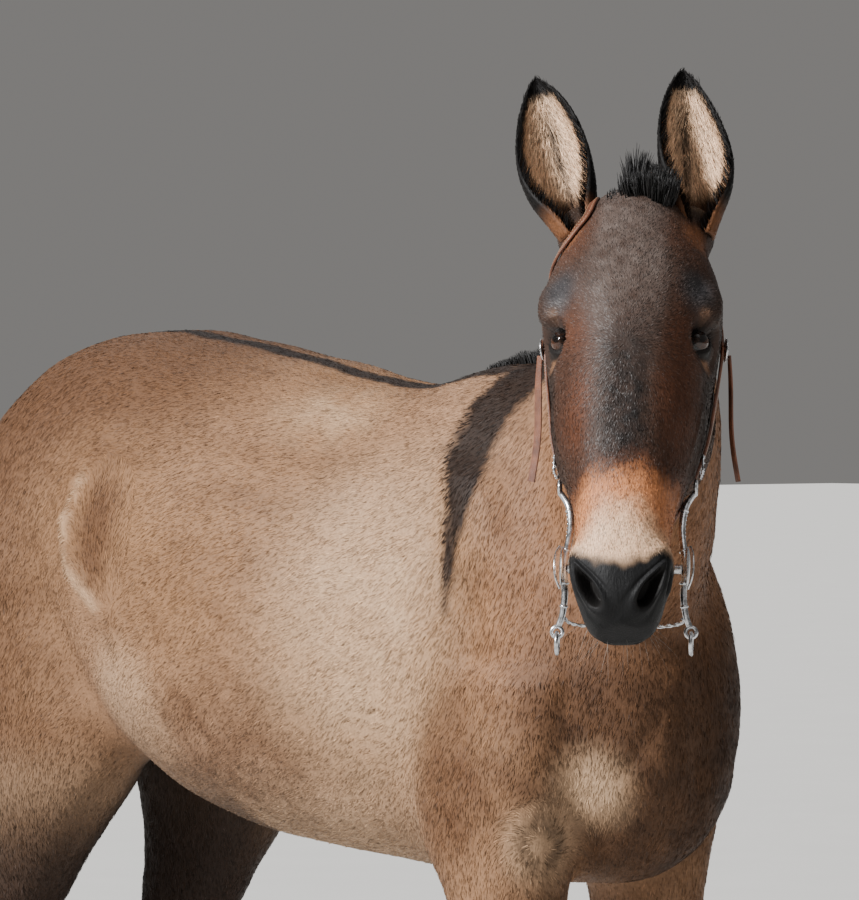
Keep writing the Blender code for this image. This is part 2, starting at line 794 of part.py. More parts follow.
# beyond the neck's own rows the crest runs on to the withers
WITHERS_END = 0.135
MANE_ROOT = 0.010           # how deep the core is set
MANE_SINK = 0.007           # how deep each lock is set
MANE_CORE = (0.011, 0.5)    # half width, share of the height
MANE_STATIONS = 12
MANE_LOCKS = 14
MANE_LOCK = (0.0300, 0.0060)        # half width, half thickness
MANE_SPLIT = 0.42           # share of the crest where the mane is parted in two
MANE_STEPS = 3              # bends along a lock
MANE_LAST = 0.86            # the locks end here, as a share of the crest


def lock(path, sides, half_width, half_thickness):
    """One flat lock of hair, broad at the root and drawn out to its tip."""
    halves = []
    for index in range(len(path)):
        left = 1 - (index / (len(path) - 1)) ** LOCK_TAPER
        share = LOCK_TIP + (1 - LOCK_TIP) * left
        halves.append((half_width * share, half_thickness * (0.3 + 0.7 * share)))
    bm = bmesh.new()
    swept(bm, path, sides, halves, 2.0, 4)
    return finished("lock", bm, "hair")


def crest_points(tree):
    """Points along the crest from the poll to the withers, with the way up at each."""
    guide = [(-0.318, -0.480, 1.640, 0.10, 0.06, 1.0), (-0.290, -0.460, 1.600, 0.30, 0.20, 0.9)]
    rows = eased(NECK, 4)
    for index in range(len(rows) - 3, 3, -1):
        x, y, z = rows[index][:3]
        ahead = Vector(rows[min(index + 1, len(rows) - 1)][:3]) - Vector(rows[index - 1][:3])
        side = ahead.cross(Vector((0, 0, 1)))
        up = side.cross(ahead).normalized()
        guide.append((x, y, z, *up))
    guide.append((0.0, WITHERS_END, 1.30, 0, 0.05, 1))
    crest = []
    for x, y, z, across, along, up in eased(guide, 3):
        way = Vector((across, along, up)).normalized()
        spot, normal, index, distance = tree.ray_cast(Vector((x, y, z)) + way * 0.6, -way)
        crest.append((spot, way))
    return evened(crest, MANE_STATIONS)


def evened(crest, count):
    """The crest at equal steps, with its small waves smoothed out."""
    for turn in range(4):
        crest = [crest[0]] + [tuple((before + 2 * here + after) / 4
                                    for before, here, after in zip(*crest[index - 1:index + 2]))
                              for index in range(1, len(crest) - 1)] + [crest[-1]]
    lengths = [0.0]
    for (spot, way), (following, next_way) in zip(crest, crest[1:]):
        lengths.append(lengths[-1] + (following - spot).length)
    result = []
    for index in range(count + 1):
        wanted = lengths[-1] * index / count
        after = next(place for place, length in enumerate(lengths) if length >= wanted - 1e-9)
        after = max(after, 1)
        part = (wanted - lengths[after - 1]) / (lengths[after] - lengths[after - 1])
        result.append((crest[after - 1][0].lerp(crest[after][0], part),
                       crest[after - 1][1].lerp(crest[after][1], part).normalized()))
    return result


def along_crest(crest, share):
    place = share * (len(crest) - 1)
    index = min(int(place), len(crest) - 2)
    part = place - index
    spot = crest[index][0].lerp(crest[index + 1][0], part)
    way = crest[index][1].lerp(crest[index + 1][1], part).normalized()
    ahead = (crest[min(index + 2, len(crest) - 1)][0] - crest[max(index - 1, 0)][0]).normalized()
    return spot, way, ahead


def mane_height(share):
    """Tall from the poll on, running out at the withers."""
    return 0.004 + MANE_HEIGHT * (1 - share ** 2.2) ** 0.9


def mane(crest, neighbours):
    """Upright locks along the crest, in two rows that lean apart, over a low core.
    The upper part, beside the ears, is returned."""
    half_width, part = MANE_CORE
    bm = bmesh.new()
    rings = []
    for index in range(MANE_STATIONS + 1):
        share = index / MANE_STATIONS
        spot, way, ahead = along_crest(crest, share)
        side = way.cross(ahead).normalized()
        section = outline(half_width, -MANE_ROOT, part * mane_height(share), 0, 2.0, 1.6, 6)
        rings.append([spot + side * across + way * up for across, up in section])
    skin_rings(bm, rings)
    pieces = [finished("core", bm, "hair")]
    chance = random.Random(SEED)
    for index in range(MANE_LOCKS):
        share = MANE_LAST * (index + 0.3) / MANE_LOCKS
        spot, way, ahead = along_crest(crest, share)
        side = way.cross(ahead).normalized() * (1 if index % 2 else -1)
        reach = mane_height(share) * chance.uniform(0.86, 1.04)
        lean = chance.uniform(0.10, 0.30)
        drift = chance.uniform(0.05, 0.50)
        path = []
        for step in range(MANE_STEPS + 1):
            up = step / MANE_STEPS
            out = side * (0.004 + reach * lean * up ** 2)
            back = ahead * reach * drift * up ** 1.5
            path.append(spot + way * (reach * up - MANE_SINK * (1 - up)) + out + back)
        scale = 0.55 + 0.45 * reach / MANE_HEIGHT
        pieces.append(lock(path, [ahead] * len(path), MANE_LOCK[0] * scale, MANE_LOCK[1] * scale))
    whole = cleared(fuse("mane_upper", pieces), *neighbours)
    lower = copied(whole, "mane_lower")
    spot, way, ahead = along_crest(crest, MANE_SPLIT)
    keep_largest(kept(lower, (spot, ahead)))
    return keep_largest(kept(whole, (spot, ahead), flip=True))


# the tuft between the ears: where its root is, and the locks that fan out of it:
# lean to the animal's left, lean forward, length
FORELOCK_ROOT = (0.006, -0.052, 0.006)
FORELOCK_CORE = (0.036, 0.021, 0.038)
FORELOCK_LOCKS = [
    (-0.52, 0.10, 0.076), (-0.26, 0.34, 0.088), (-0.08, -0.08, 0.096),
    (0.10, 0.36, 0.092), (0.28, -0.04, 0.092), (0.54, 0.16, 0.076),
]
FORELOCK_LOCK = (0.0190, 0.0062)


def forelock(shell, ears):
    root = on_head(*FORELOCK_ROOT)
    bm = bmesh.new()
    axes = Matrix.Rotation(-HEAD_TURN, 3, "Z")
    ellipsoid(bm, root + Vector((0, 0, 0.010)), FORELOCK_CORE, axes, 8, 5)
    pieces = [finished("core", bm, "hair")]
    for left, forward, length in FORELOCK_LOCKS:
        way = (Vector((0, 0, 1)) + HEAD_LEFT * left + FACING * forward).normalized()
        path = []
        for step in range(4):
            up = step / 3
            bend = HEAD_LEFT * left * 0.25 + FACING * 0.30 - Vector((0, 0, 0.10))
            path.append(root + HEAD_LEFT * left * 0.014 + way * length * up + bend * length * up ** 2)
        pieces.append(lock(path, [HEAD_LEFT] * len(path), *FORELOCK_LOCK))
    return cleared(fuse("forelock", pieces), shell, *ears)


# the tail's middle line with its half width and half depth
TAIL = [
    (0.000, 1.060, 1.440, 0.034, 0.026),
    (0.000, 1.130, 1.432, 0.036, 0.028),
    (0.000, 1.196, 1.386, 0.034, 0.027),
    (0.000, 1.242, 1.305, 0.033, 0.027),
    (0.000, 1.268, 1.200, 0.038, 0.032),
    (0.000, 1.276, 1.060, 0.056, 0.042),
    (0.000, 1.275, 0.900, 0.072, 0.050),
    (0.000, 1.272, 0.740, 0.080, 0.052),
    (0.000, 1.270, 0.580, 0.066, 0.044),
    (0.000, 1.268, 0.460, 0.038, 0.028),
    (0.000, 1.267, 0.390, 0.012, 0.010),
]
DOCK_END = 1.220            # height where the long hair starts
SWITCH_CORE_END = 0.810     # half way to the tips
SWITCH_LOCKS = 8
SWITCH_LOCK = (0.0400, 0.0130)


def tail_row(rows, height):
    """The tail's middle, half width and half depth at a height."""
    for upper, lower in zip(rows, rows[1:]):
        if upper[2] >= height >= lower[2]:
            part = (upper[2] - height) / (upper[2] - lower[2])
            return tuple(a + (b - a) * part for a, b in zip(upper, lower))
    return rows[-1]


def tail(shell):
    rows = eased(TAIL, 3)
    upper = [row for row in rows if row[2] > DOCK_END - 0.05]
    bm = bmesh.new()
    swept(bm, [Vector(row[:3]) for row in upper], [Vector((1, 0, 0))] * len(upper),
          [row[3:] for row in upper], 2.0, 14)
    split = (Vector((0, 0, DOCK_END)), Vector((0, 0, 1)))
    keep_largest(kept(cleared(finished("tail", bm, "hair"), shell), split))
    switch(rows[rows.index(upper[-1]) - 4:], split, shell)


def switch(rows, split, shell):
    """Long locks that hang from round a core; each keeps its own place to the tip."""
    core = [row for row in rows if row[2] > SWITCH_CORE_END][::2]
    bm = bmesh.new()
    inner = [(0.75 if row[2] < DOCK_END - 0.10 else 1.0) for row in core]
    inner[-1] = 0.35
    swept(bm, [Vector(row[:3]) for row in core], [Vector((1, 0, 0))] * len(core),
          [(row[3] * part, row[4] * part) for row, part in zip(core, inner)], 2.0, 8)
    pieces = [finished("core", bm, "hair")]
    chance = random.Random(SEED + 1)
    for index in range(SWITCH_LOCKS):
        turn = 2 * math.pi * (index + chance.uniform(-0.25, 0.25)) / SWITCH_LOCKS
        start = chance.uniform(0.95, 1.16)
        end = TAIL[-1][2] + 0.24 * chance.random() ** 1.5
        drift = chance.uniform(-0.35, 0.35)
        path = []
        sides = []
        for step in range(5):
            height = start + (end - start) * step / 4
            x, y, z, half_width, half_depth = tail_row(rows, height)
            angle = turn + drift * step / 4
            out = Vector((half_width * math.cos(angle), half_depth * math.sin(angle), 0))
            path.append(Vector((x, y, z)) + out * (0.80 if step else 0.20))
            sides.append(Vector((-math.sin(angle), math.cos(angle), 0)))
        pieces.append(lock(path, sides, *SWITCH_LOCK))
    body = cleared(fuse("tail_switch", pieces), shell)
    keep_largest(kept(body, split, flip=True))


# The bridle and its bit, without reins: places are down, out, to the side on the head

BIT_PLACE = (0.462, -0.096)
BIT_BAR_RADIUS = 0.006
CROWN = [(0.150, -0.120, 0.108), (0.105, -0.124, 0.106), (0.060, -0.128, 0.092), (0.025, -0.135, 0.070),
         (-0.005, -0.135, 0.040), (-0.018, -0.128, 0.0)]
CHEEK = [(0.150, -0.120, 0.106), (0.200, -0.118, 0.102), (0.250, -0.114, 0.095), (0.300, -0.108, 0.086),
         (0.340, -0.103, 0.080)]
EAR_LOOP = [(0.085, -0.100, 0.100), (0.075, -0.062, 0.098), (0.061, -0.035, 0.088), (0.040, -0.022, 0.070),
            (0.022, -0.026, 0.048), (0.004, -0.050, 0.034), (-0.012, -0.090, 0.030)]
CONCHO_PLACE = (0.150, -0.120, 0.108)
TIE_LENGTH = 0.150
EAR_LOOP_WIDTH = 0.013
BUCKLE_PLACE = (0.318, -0.106, 0.084)
CURB = [(0.366, -0.108, 0.069), (0.380, -0.135, 0.062), (0.392, -0.160, 0.042), (0.396, -0.172, 0.0)]
CURB_WIDTH = 0.012
# down, out, to the side, radius
SHANK = [
    (0.358, -0.100, 0.0795, 0.0038),
    (0.376, -0.102, 0.0690, 0.0042),
    (0.405, -0.101, 0.0655, 0.0042),
    (0.432, -0.098, 0.0680, 0.0042),
    (0.462, -0.096, 0.0715, 0.0046),
    (0.490, -0.103, 0.0695, 0.0042),
    (0.512, -0.114, 0.0720, 0.0040),
    (0.524, -0.121, 0.0765, 0.0040),
]
SHANK_TOP = (0.3515, -0.0995, 0.0805)
SHANK_TOP_RADIUS = 0.0080
SHANK_EYE = (0.5305, -0.1245, 0.0785)
SHANK_EYE_RADIUS = 0.0064
EYE_WIRE = 0.0025           # wire of both


def placed(row, side):
    return on_head(row[0], row[1], side * row[2])


def strap(name, tree, path, width, neighbours, lift=0.0012, steps=2):
    """A flat band that lies on the surface along a path."""
    points = []
    normals = []
    for point in eased([tuple(point) for point in path], steps):
        spot, normal, index, distance = tree.find_nearest(Vector(point))
        points.append(spot + normal * lift)
        normals.append(normal)
    sides = []
    for index, normal in enumerate(normals):
        ahead = points[min(index + 1, len(points) - 1)] - points[max(index - 1, 0)]
        sides.append(normal.cross(ahead).normalized())
    bm = bmesh.new()
    swept(bm, points, sides, [(width / 2, STRAP_THICKNESS)] * len(points), count=4)
    return cleared(finished(name, bm, "leather"), *neighbours)


def bit_bar():
    """The bar through the mouth, from shank to shank."""
    bm = bmesh.new()
    reach = SHANK[4][2] - SHANK[4][3] - GAP
    path = [on_head(*BIT_PLACE, reach * (index / 4 - 1)) for index in range(9)]
    swept(bm, path, [DOWN_FACE] * 9, [(BIT_BAR_RADIUS, BIT_BAR_RADIUS)] * 9, 2.0, 6)
    return finished("bit_mouthpiece", bm, "silver")


def loop(name, centre, normal, radius, wire, around, sides):
    """A closed ring."""
    normal = normal.normalized()
    first = normal.orthogonal().normalized()
    second = normal.cross(first)
    bm = bmesh.new()
    rings = []
    for index in range(around):
        turn = 2 * math.pi * index / around
        out = first * math.cos(turn) + second * math.sin(turn)
        ring = []
        for step in range(sides):
            angle = 2 * math.pi * step / sides
            ring.append(bm.verts.new(centre + out * (radius + wire * math.cos(angle))
                                     + normal * wire * math.sin(angle)))
        rings.append(ring)
    for index in range(around):
        one, two = rings[index], rings[(index + 1) % around]
        for step in range(sides):
            after = (step + 1) % sides
            bm.faces.new((one[step], one[after], two[after], two[step]))
    return finished(name, bm, "silver")


def shank(side, name, bar, shell):
    bm = bmesh.new()
    swept(bm, [placed(row, side) for row in SHANK], [HEAD_LEFT] * len(SHANK),
          [(row[3], row[3]) for row in SHANK], 2.0, 6)
    pieces = [finished("rod", bm, "silver")]
    plate = bmesh.new()
    ellipsoid(plate, on_head(BIT_PLACE[0] - 0.004, BIT_PLACE[1], side * 0.0725), (0.026, 0.014, 0.0045),
              HEAD_AXES, 10, 5)
    pieces.append(finished("plate", plate, "silver"))
    pieces.append(loop("top", placed(SHANK_TOP, side), HEAD_LEFT, SHANK_TOP_RADIUS, EYE_WIRE, 12, 4))
    through = head_direction(0.45, 1, 0)
    pieces.append(loop("end", placed(SHANK_EYE, side), through, SHANK_EYE_RADIUS, EYE_WIRE, 12, 4))
    body = fuse("bit_shank_" + name, pieces)
    cleared(body, bar, shell)
    hung = placed(SHANK_EYE, side) - Vector((0, 0, RING_RADIUS + 0.0006))
    loop("rein_ring_" + name, hung, Vector((0, 0, 1)).cross(through), RING_RADIUS, RING_WIRE, 16, 5)
    return body


def tie(side, name, top):
    """The strap end that hangs free from under the concho."""
    bm = bmesh.new()
    path = []
    for index in range(7):
        share = index / 6
        path.append(top + Vector((0, 0, -TIE_LENGTH * share))
                    + HEAD_LEFT * side * 0.010 * share ** 2 - OUT_OF_FACE * 0.004 * share)
    swept(bm, path, [OUT_OF_FACE] * 7, [(0.0055, 0.0016)] * 7, count=4)
    return finished("tie_" + name, bm, "leather")


def tack(tree, shell, ears, crest_hair, bar):
    crown_path = [placed(row, -1) for row in CROWN] + [placed(row, 1) for row in reversed(CROWN[:-1])]
    crown = strap("headstall_crown", tree, crown_path, STRAP_WIDTH, (shell, *ears, crest_hair))
    strap("ear_loop", tree, [placed(row, -1) for row in EAR_LOOP], EAR_LOOP_WIDTH, (shell, *ears, crown))
    shanks = []
    for side, name in ((-1, "right"), (1, "left")):
        shanks.append(shank(side, name, bar, shell))
        cheek = strap("cheek_strap_" + name, tree, [placed(row, side) for row in CHEEK], STRAP_WIDTH * 0.85,
                      (shell, crown, shanks[-1]))
        spot, normal = surface(tree, placed(CONCHO_PLACE, side))
        disc = bmesh.new()
        ellipsoid(disc, spot + normal * 0.0075, (CONCHO_RADIUS, CONCHO_RADIUS, 0.0050),
                  normal.to_track_quat("Z", "Y").to_matrix(), 12, 4)
        concho = cleared(finished("concho_" + name, disc, "silver"), crown, cheek, shell)
        hanging = tie(side, name, spot + normal * 0.0150 - Vector((0, 0, 0.006)))
        cleared(hanging, concho, cheek, shell)
        spot, normal = surface(tree, placed(BUCKLE_PLACE, side))
        frame = bmesh.new()
        ellipsoid(frame, spot + normal * 0.006, (0.014, 0.010, 0.0035),
                  columns(DOWN_FACE, normal.cross(DOWN_FACE).normalized(), normal), 10, 6)
        cleared(finished("buckle_" + name, frame, "silver"), cheek, shell)
    half = [placed(row, -1) for row in CURB]
    curb_path = half + [placed(row, 1) for row in reversed(CURB[:-1])]
    strap("curb_strap", tree, curb_path, CURB_WIDTH, (shell, *shanks))
    bow = bmesh.new()
    path = []
    for index in range(11):
        turn = math.pi * index / 10
        path.append(on_head(0.516 - 0.012 * math.sin(turn), -0.118 - 0.046 * math.sin(turn) ** 0.8,
                            0.0690 * math.cos(turn)))
    swept(bow, path, [DOWN_FACE] * 11, [(0.0024, 0.0024)] * 11, 2.0, 6)
    cleared(finished("shank_bar", bow, "silver"), shell, *shanks)


def surface(tree, point):
    spot, normal, index, distance = tree.find_nearest(point)
    return spot, normal


def settle():
    """Move everything so that the box stands on the floor, its middle over the origin."""
    points = [vertex.co for item in bpy.data.objects for vertex in item.data.vertices]
    shift = Vector([-(min(point[axis] for point in points) + max(point[axis] for point in points)) / 2
                    for axis in (0, 1)] + [-min(point.z for point in points)])
    for item in bpy.data.objects:
        item.data.transform(Matrix.Translation(shift))
        item.data.shade_smooth()
        item.data.set_sharp_from_angle(angle=math.radians(40))


def main():
    for item in list(bpy.data.objects):
        bpy.data.objects.remove(item)
    flesh = whole_flesh()
    tree = BVHTree.FromObject(flesh, bpy.context.evaluated_depsgraph_get())
    crest = crest_points(tree)
    shell = inflated(flesh, CLEARANCE)
    shell.name = SHELL
    shell.hide_render = True
    shell.display_type = "WIRE"
    nodes = parted(flesh)
    bar = bit_bar()
    finish_head(nodes["head"], bar)
    ears = []
    for side, name in ((-1, "right"), (1, "left")):
        eyeball(side, name)
        ears.append(ear(side, name, shell))
        hoof("fore", side, name, nodes["foreleg_" + name])
        hoof("hind", side, name, nodes["hindleg_" + name])
    tuft = forelock(shell, ears)
    crest_hair = mane(crest, (shell, *ears, tuft))
    tail(shell)
    tack(tree, shell, ears, crest_hair, bar)
    drop(shell)
    settle()


if __name__ == "__main__":
    main()
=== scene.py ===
import math

import bmesh
import bpy
import numpy as np
from mathutils import Matrix, Vector
from mathutils.bvhtree import BVHTree


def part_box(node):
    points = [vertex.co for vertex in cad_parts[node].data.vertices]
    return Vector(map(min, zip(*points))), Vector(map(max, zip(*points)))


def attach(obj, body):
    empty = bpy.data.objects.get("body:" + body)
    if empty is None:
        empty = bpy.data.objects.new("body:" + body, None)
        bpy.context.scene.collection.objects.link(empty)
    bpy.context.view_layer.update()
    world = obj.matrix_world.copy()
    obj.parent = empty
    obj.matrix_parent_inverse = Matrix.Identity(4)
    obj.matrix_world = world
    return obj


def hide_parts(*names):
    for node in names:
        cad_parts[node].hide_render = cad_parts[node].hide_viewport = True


# A life-size mule: one skin under a coat of tufts, finer locks, eyes, hooves and bridle
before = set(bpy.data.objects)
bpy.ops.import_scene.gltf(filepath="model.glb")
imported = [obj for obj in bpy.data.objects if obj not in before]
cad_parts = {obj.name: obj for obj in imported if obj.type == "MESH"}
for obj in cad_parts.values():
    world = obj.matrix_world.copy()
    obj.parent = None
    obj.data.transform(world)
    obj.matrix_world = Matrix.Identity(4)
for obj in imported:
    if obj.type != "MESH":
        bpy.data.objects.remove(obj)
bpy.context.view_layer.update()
chance = np.random.default_rng(20)

# where the head is: the eye's solid says how far the whole mule was centred
headTurn = math.radians(46)
headLean = math.radians(30)
eyePlace = (0.186, -0.046, 0.0735)
eyeRadius = 0.0205
facing = Vector((-math.sin(headTurn), -math.cos(headTurn), 0))
downFace = facing * math.sin(headLean) - Vector((0, 0, math.cos(headLean)))
outOfFace = facing * math.cos(headLean) + Vector((0, 0, math.sin(headLean)))
headLeft = Vector((math.cos(headTurn), -math.sin(headTurn), 0))
headAxes = np.array([downFace, outOfFace, headLeft])
headMiddle = np.array([0.25, -0.1, 0])
pollPlace = Vector((-0.335, -0.500, 1.700))
sideNames = ((-1, "right"), (1, "left"))


def boxMiddle(node):
    low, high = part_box(node)
    return (low + high) / 2


centring = boxMiddle("eye_left") - pollPlace - Vector(headAxes.T @ np.array(eyePlace))
poll = pollPlace + centring


def onHead(down, out, left):
    return poll + downFace * down + outOfFace * out + headLeft * left


# The same place on the right side (-1) or the left (1)
def placed(row, side):
    return onHead(row[0], row[1], side * row[2])


def headWay(down, out, left):
    return (downFace * down + outOfFace * out + headLeft * left).normalized()


def headCoords(points):
    return (points - np.array(poll)) @ headAxes.T


def bodyCoords(points):
    return points - np.array(centring)


# Head coordinates with the left side folded onto the right
def foldedHead(head):
    return np.column_stack([head[:, :2], np.abs(head[:, 2])])


# Camera and light

cameraView = {
    "place": (-4.445, -5.017, 1.45), "heading": (0.643, 0.766), "drop": 50 / 5085,
    "lens": 203.4, "sensor": 36, "far": 100,
}


def addCamera():
    look = Vector((*cameraView["heading"], 0)).normalized() - Vector((0, 0, cameraView["drop"]))
    data = bpy.data.cameras.new("photoCamera")
    data.lens = cameraView["lens"]
    data.sensor_width = cameraView["sensor"]
    data.clip_end = cameraView["far"]
    camera = bpy.data.objects.new("photoCamera", data)
    camera.location = Vector(cameraView["place"]) + centring
    camera.rotation_euler = look.to_track_quat("-Z", "Y").to_euler()
    bpy.context.scene.collection.objects.link(camera)
    bpy.context.scene.camera = camera


# kind, to the camera's right, up, towards the camera, size (the sun's is an angle), strength
lamps = {
    "key": ("SUN", -4.4, 3.4, 2.5, 0.14, 8.6),
    "back": ("AREA", -1.0, 3.6, -3.6, 3.0, 34),
    "top": ("AREA", 1.6, 4.0, 2.4, 2.4, 22),
}
studio = {"colour": (0.93, 0.90, 0.87), "strength": 0.22, "aimHeight": 1.1}


def addLights():
    ahead = Vector((*cameraView["heading"], 0)).normalized()
    right = Vector((ahead.y, -ahead.x, 0))
    middle = Vector((0, 0, studio["aimHeight"]))
    for name, (kind, across, up, near, size, strength) in lamps.items():
        data = bpy.data.lights.new(name, kind)
        if kind == "SUN":
            data.angle = size
        else:
            data.size = size
        data.energy = strength
        lamp = bpy.data.objects.new(name, data)
        lamp.location = middle + right * across + Vector((0, 0, up)) - ahead * near
        lamp.rotation_euler = (middle - lamp.location).to_track_quat("-Z", "Y").to_euler()
        bpy.context.scene.collection.objects.link(lamp)
    world = bpy.data.worlds.new("studio")
    world.use_nodes = True
    background = world.node_tree.nodes["Background"]
    background.inputs[0].default_value = (*studio["colour"], 1)
    background.inputs[1].default_value = studio["strength"]
    bpy.context.scene.world = world


# Materials

def newMaterial(name, colour, roughness, **sockets):
    made = bpy.data.materials.new(name)
    made.use_nodes = True
    shader = made.node_tree.nodes["Principled BSDF"]
    shader.inputs["Base Color"].default_value = (*colour, 1)
    shader.inputs["Roughness"].default_value = roughness
    for socket, value in sockets.items():
        shader.inputs[socket.replace("_", " ")].default_value = value
    return made, made.node_tree, shader


def addNode(tree, kind, **settings):
    node = tree.nodes.new(kind)
    for name, value in settings.items():
        setattr(node, name, value)
    return node


def noiseNode(tree, scale, detail=3.0, stretch=(1, 1, 1)):
    place = addNode(tree, "ShaderNodeTexCoord")
    turn = addNode(tree, "ShaderNodeMapping")
    turn.inputs["Scale"].default_value = stretch
    noise = addNode(tree, "ShaderNodeTexNoise")
    noise.inputs["Scale"].default_value = scale
    noise.inputs["Detail"].default_value = detail
    tree.links.new(place.outputs["Object"], turn.inputs["Vector"])
    tree.links.new(turn.outputs["Vector"], noise.inputs["Vector"])
    return noise


def addBump(tree, shader, source, depth):
    bump = addNode(tree, "ShaderNodeBump")
    bump.inputs["Distance"].default_value = depth
    bump.inputs["Strength"].default_value = 1.0
    tree.links.new(source, bump.inputs["Height"])
    tree.links.new(bump.outputs["Normal"], shader.inputs["Normal"])


# Values from low to high, as a source runs from start to end
def rangeOf(tree, source, low, high, start=0.0, end=1.0):
    reach = addNode(tree, "ShaderNodeMapRange")
    for socket, value in (("From Min", start), ("From Max", end), ("To Min", low), ("To Max", high)):
        reach.inputs[socket].default_value = value
    tree.links.new(source, reach.inputs["Value"])
    return reach.outputs["Result"]


# The base colour, from one to another as a source runs between two places
def rampBy(tree, shader, source, low, high, places=(0, 1)):
    ramp = addNode(tree, "ShaderNodeValToRGB")
    for element, place, colour in zip(ramp.color_ramp.elements, places, (low, high)):
        element.position = place
        element.color = (*colour, 1)
    tree.links.new(source, ramp.inputs["Fac"])
    tree.links.new(ramp.outputs["Color"], shader.inputs["Base Color"])


# The base colour from the points' own, made darker and lighter by noise
def tintBy(tree, shader, noise, low, high):
    tint = addNode(tree, "ShaderNodeAttribute", attribute_name="coatTint")
    mix = addNode(tree, "ShaderNodeMix", data_type="RGBA", blend_type="MULTIPLY")
    mix.inputs["Factor"].default_value = 1.0
    tree.links.new(tint.outputs["Color"], mix.inputs[6])
    tree.links.new(rangeOf(tree, noise.outputs["Fac"], low, high, 0.3, 0.7), mix.inputs[7])
    tree.links.new(mix.outputs[2], shader.inputs["Base Color"])


# Hair whose colour is each point's own, with fine flecks and strands
def coatMaterial(name, roughness, scale, bump, **sockets):
    made, tree, shader = newMaterial(name, (0.3, 0.2, 0.13), roughness, **sockets)
    tintBy(tree, shader, noiseNode(tree, scale, 4.0), 0.82, 1.18)
    strands = noiseNode(tree, scale * 1.6, 5.0, (1, 1, 0.28))
    addBump(tree, shader, strands.outputs["Fac"], bump)
    return made


# Fine bands round a piece, as on horn and thread, with their bump
def ringedMaterial(name, colour, dark, roughness, rings, depth=0.0012, **sockets):
    made, tree, shader = newMaterial(name, colour, roughness, **sockets)
    noise = noiseNode(tree, rings, 4.0, (0.12, 0.12, 1))
    rampBy(tree, shader, noise.outputs["Fac"], dark, colour, (0.32, 0.68))
    addBump(tree, shader, noise.outputs["Fac"], depth)
    return made


def leatherMaterial():
    made, tree, shader = newMaterial("leather", (0.17, 0.07, 0.04), 0.46, Specular_IOR_Level=0.4,
                                     Coat_Weight=0.12, Coat_Roughness=0.35)
    worn = noiseNode(tree, 55, 4.0)
    rampBy(tree, shader, worn.outputs["Fac"], (0.075, 0.026, 0.014), (0.215, 0.078, 0.038), (0.30, 0.72))
    grain = addNode(tree, "ShaderNodeTexVoronoi")
    grain.inputs["Scale"].default_value = 900
    place = addNode(tree, "ShaderNodeTexCoord")
    tree.links.new(place.outputs["Object"], grain.inputs["Vector"])
    addBump(tree, shader, grain.outputs["Distance"], 0.0003)
    return made


def silverMaterial():
    made, tree, shader = newMaterial("silver", (0.66, 0.67, 0.68), 0.22, Metallic=1.0)
    worn = noiseNode(tree, 160, 5.0).outputs["Fac"]
    tree.links.new(rangeOf(tree, worn, 0.14, 0.40), shader.inputs["Roughness"])
    rampBy(tree, shader, worn, (0.20, 0.20, 0.20), (0.68, 0.69, 0.71), (0.25, 0.55))
    addBump(tree, shader, worn, 0.0002)
    return made


# A wet eyeball: the iris and the long pupil come from the ball's own colours
def eyeMaterial():
    made, tree, shader = newMaterial("wetEye", (0.02, 0.011, 0.007), 0.12, Coat_Weight=0.30,
                                     Coat_Roughness=0.02, Specular_IOR_Level=0.40)
    tintBy(tree, shader, noiseNode(tree, 900, 3.0), 0.6, 1.5)
    return made


coatLook = coatMaterial("coatHair", 0.58, 190, 0.0006, Sheen_Weight=0.01, Sheen_Roughness=0.45,
                        Specular_IOR_Level=0.14)
faceLook = coatMaterial("faceHair", 0.50, 300, 0.0004, Sheen_Weight=0.01, Sheen_Roughness=0.4,
                        Specular_IOR_Level=0.32)
skinLook = coatMaterial("underCoat", 0.60, 260, 0.0007, Sheen_Weight=0.01, Sheen_Roughness=0.5,
                        Specular_IOR_Level=0.18)
longHairLook = coatMaterial("longHair", 0.50, 300, 0.0004, Sheen_Weight=0.03, Sheen_Roughness=0.4,
                            Specular_IOR_Level=0.35)
hornLook = ringedMaterial("horn", (0.046, 0.036, 0.028), (0.016, 0.0125, 0.0105), 0.44, 210,
                          Specular_IOR_Level=0.45)
leatherLook = leatherMaterial()
silverLook = silverMaterial()
eyeLook = eyeMaterial()
threadLook = ringedMaterial("thread", (0.46, 0.36, 0.24), (0.25, 0.18, 0.11), 0.7, 1500, 0.0002)


# Meshes as arrays

def eased(values, low, high):
    share = np.clip((values - low) / (high - low), 0, 1)
    return share * share * (3 - 2 * share)


def unit(vectors):
    return vectors / np.maximum(np.linalg.norm(vectors, axis=-1, keepdims=True), 1e-12)


def readVertices(mesh, field="co"):
    values = np.empty(len(mesh.vertices) * 3, np.float32)
    mesh.vertices.foreach_get(field, values)
    return values.reshape(-1, 3).astype(float)


def writeVertices(mesh, points):
    mesh.vertices.foreach_set("co", points.astype(np.float32).ravel())
    mesh.update()


def readEdges(mesh):
    edges = np.empty(len(mesh.edges) * 2, np.int32)
    mesh.edges.foreach_get("vertices", edges)
    return edges.reshape(-1, 2)


# Points drawn towards their neighbours' middle, as strongly as each one's weight says
def relaxed(points, edges, weight, rounds):
    first, second = edges.T
    size = len(points)
    count = np.maximum(np.bincount(edges.ravel(), minlength=size), 1)
    for turn in range(rounds):
        middle = np.stack([np.bincount(first, points[second, axis], size)
                           + np.bincount(second, points[first, axis], size) for axis in range(3)], 1)
        points = points + weight[:, None] * (middle / count[:, None] - points)
    return points


def newObject(name, mesh, material):
    piece = bpy.data.objects.new(name, mesh)
    bpy.context.scene.collection.objects.link(piece)
    mesh.materials.clear()
    mesh.materials.append(material)
    return piece


def shown(piece, slotName, *nodes):
    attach(piece, "root")
    if nodes:
        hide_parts(*nodes)
    return piece


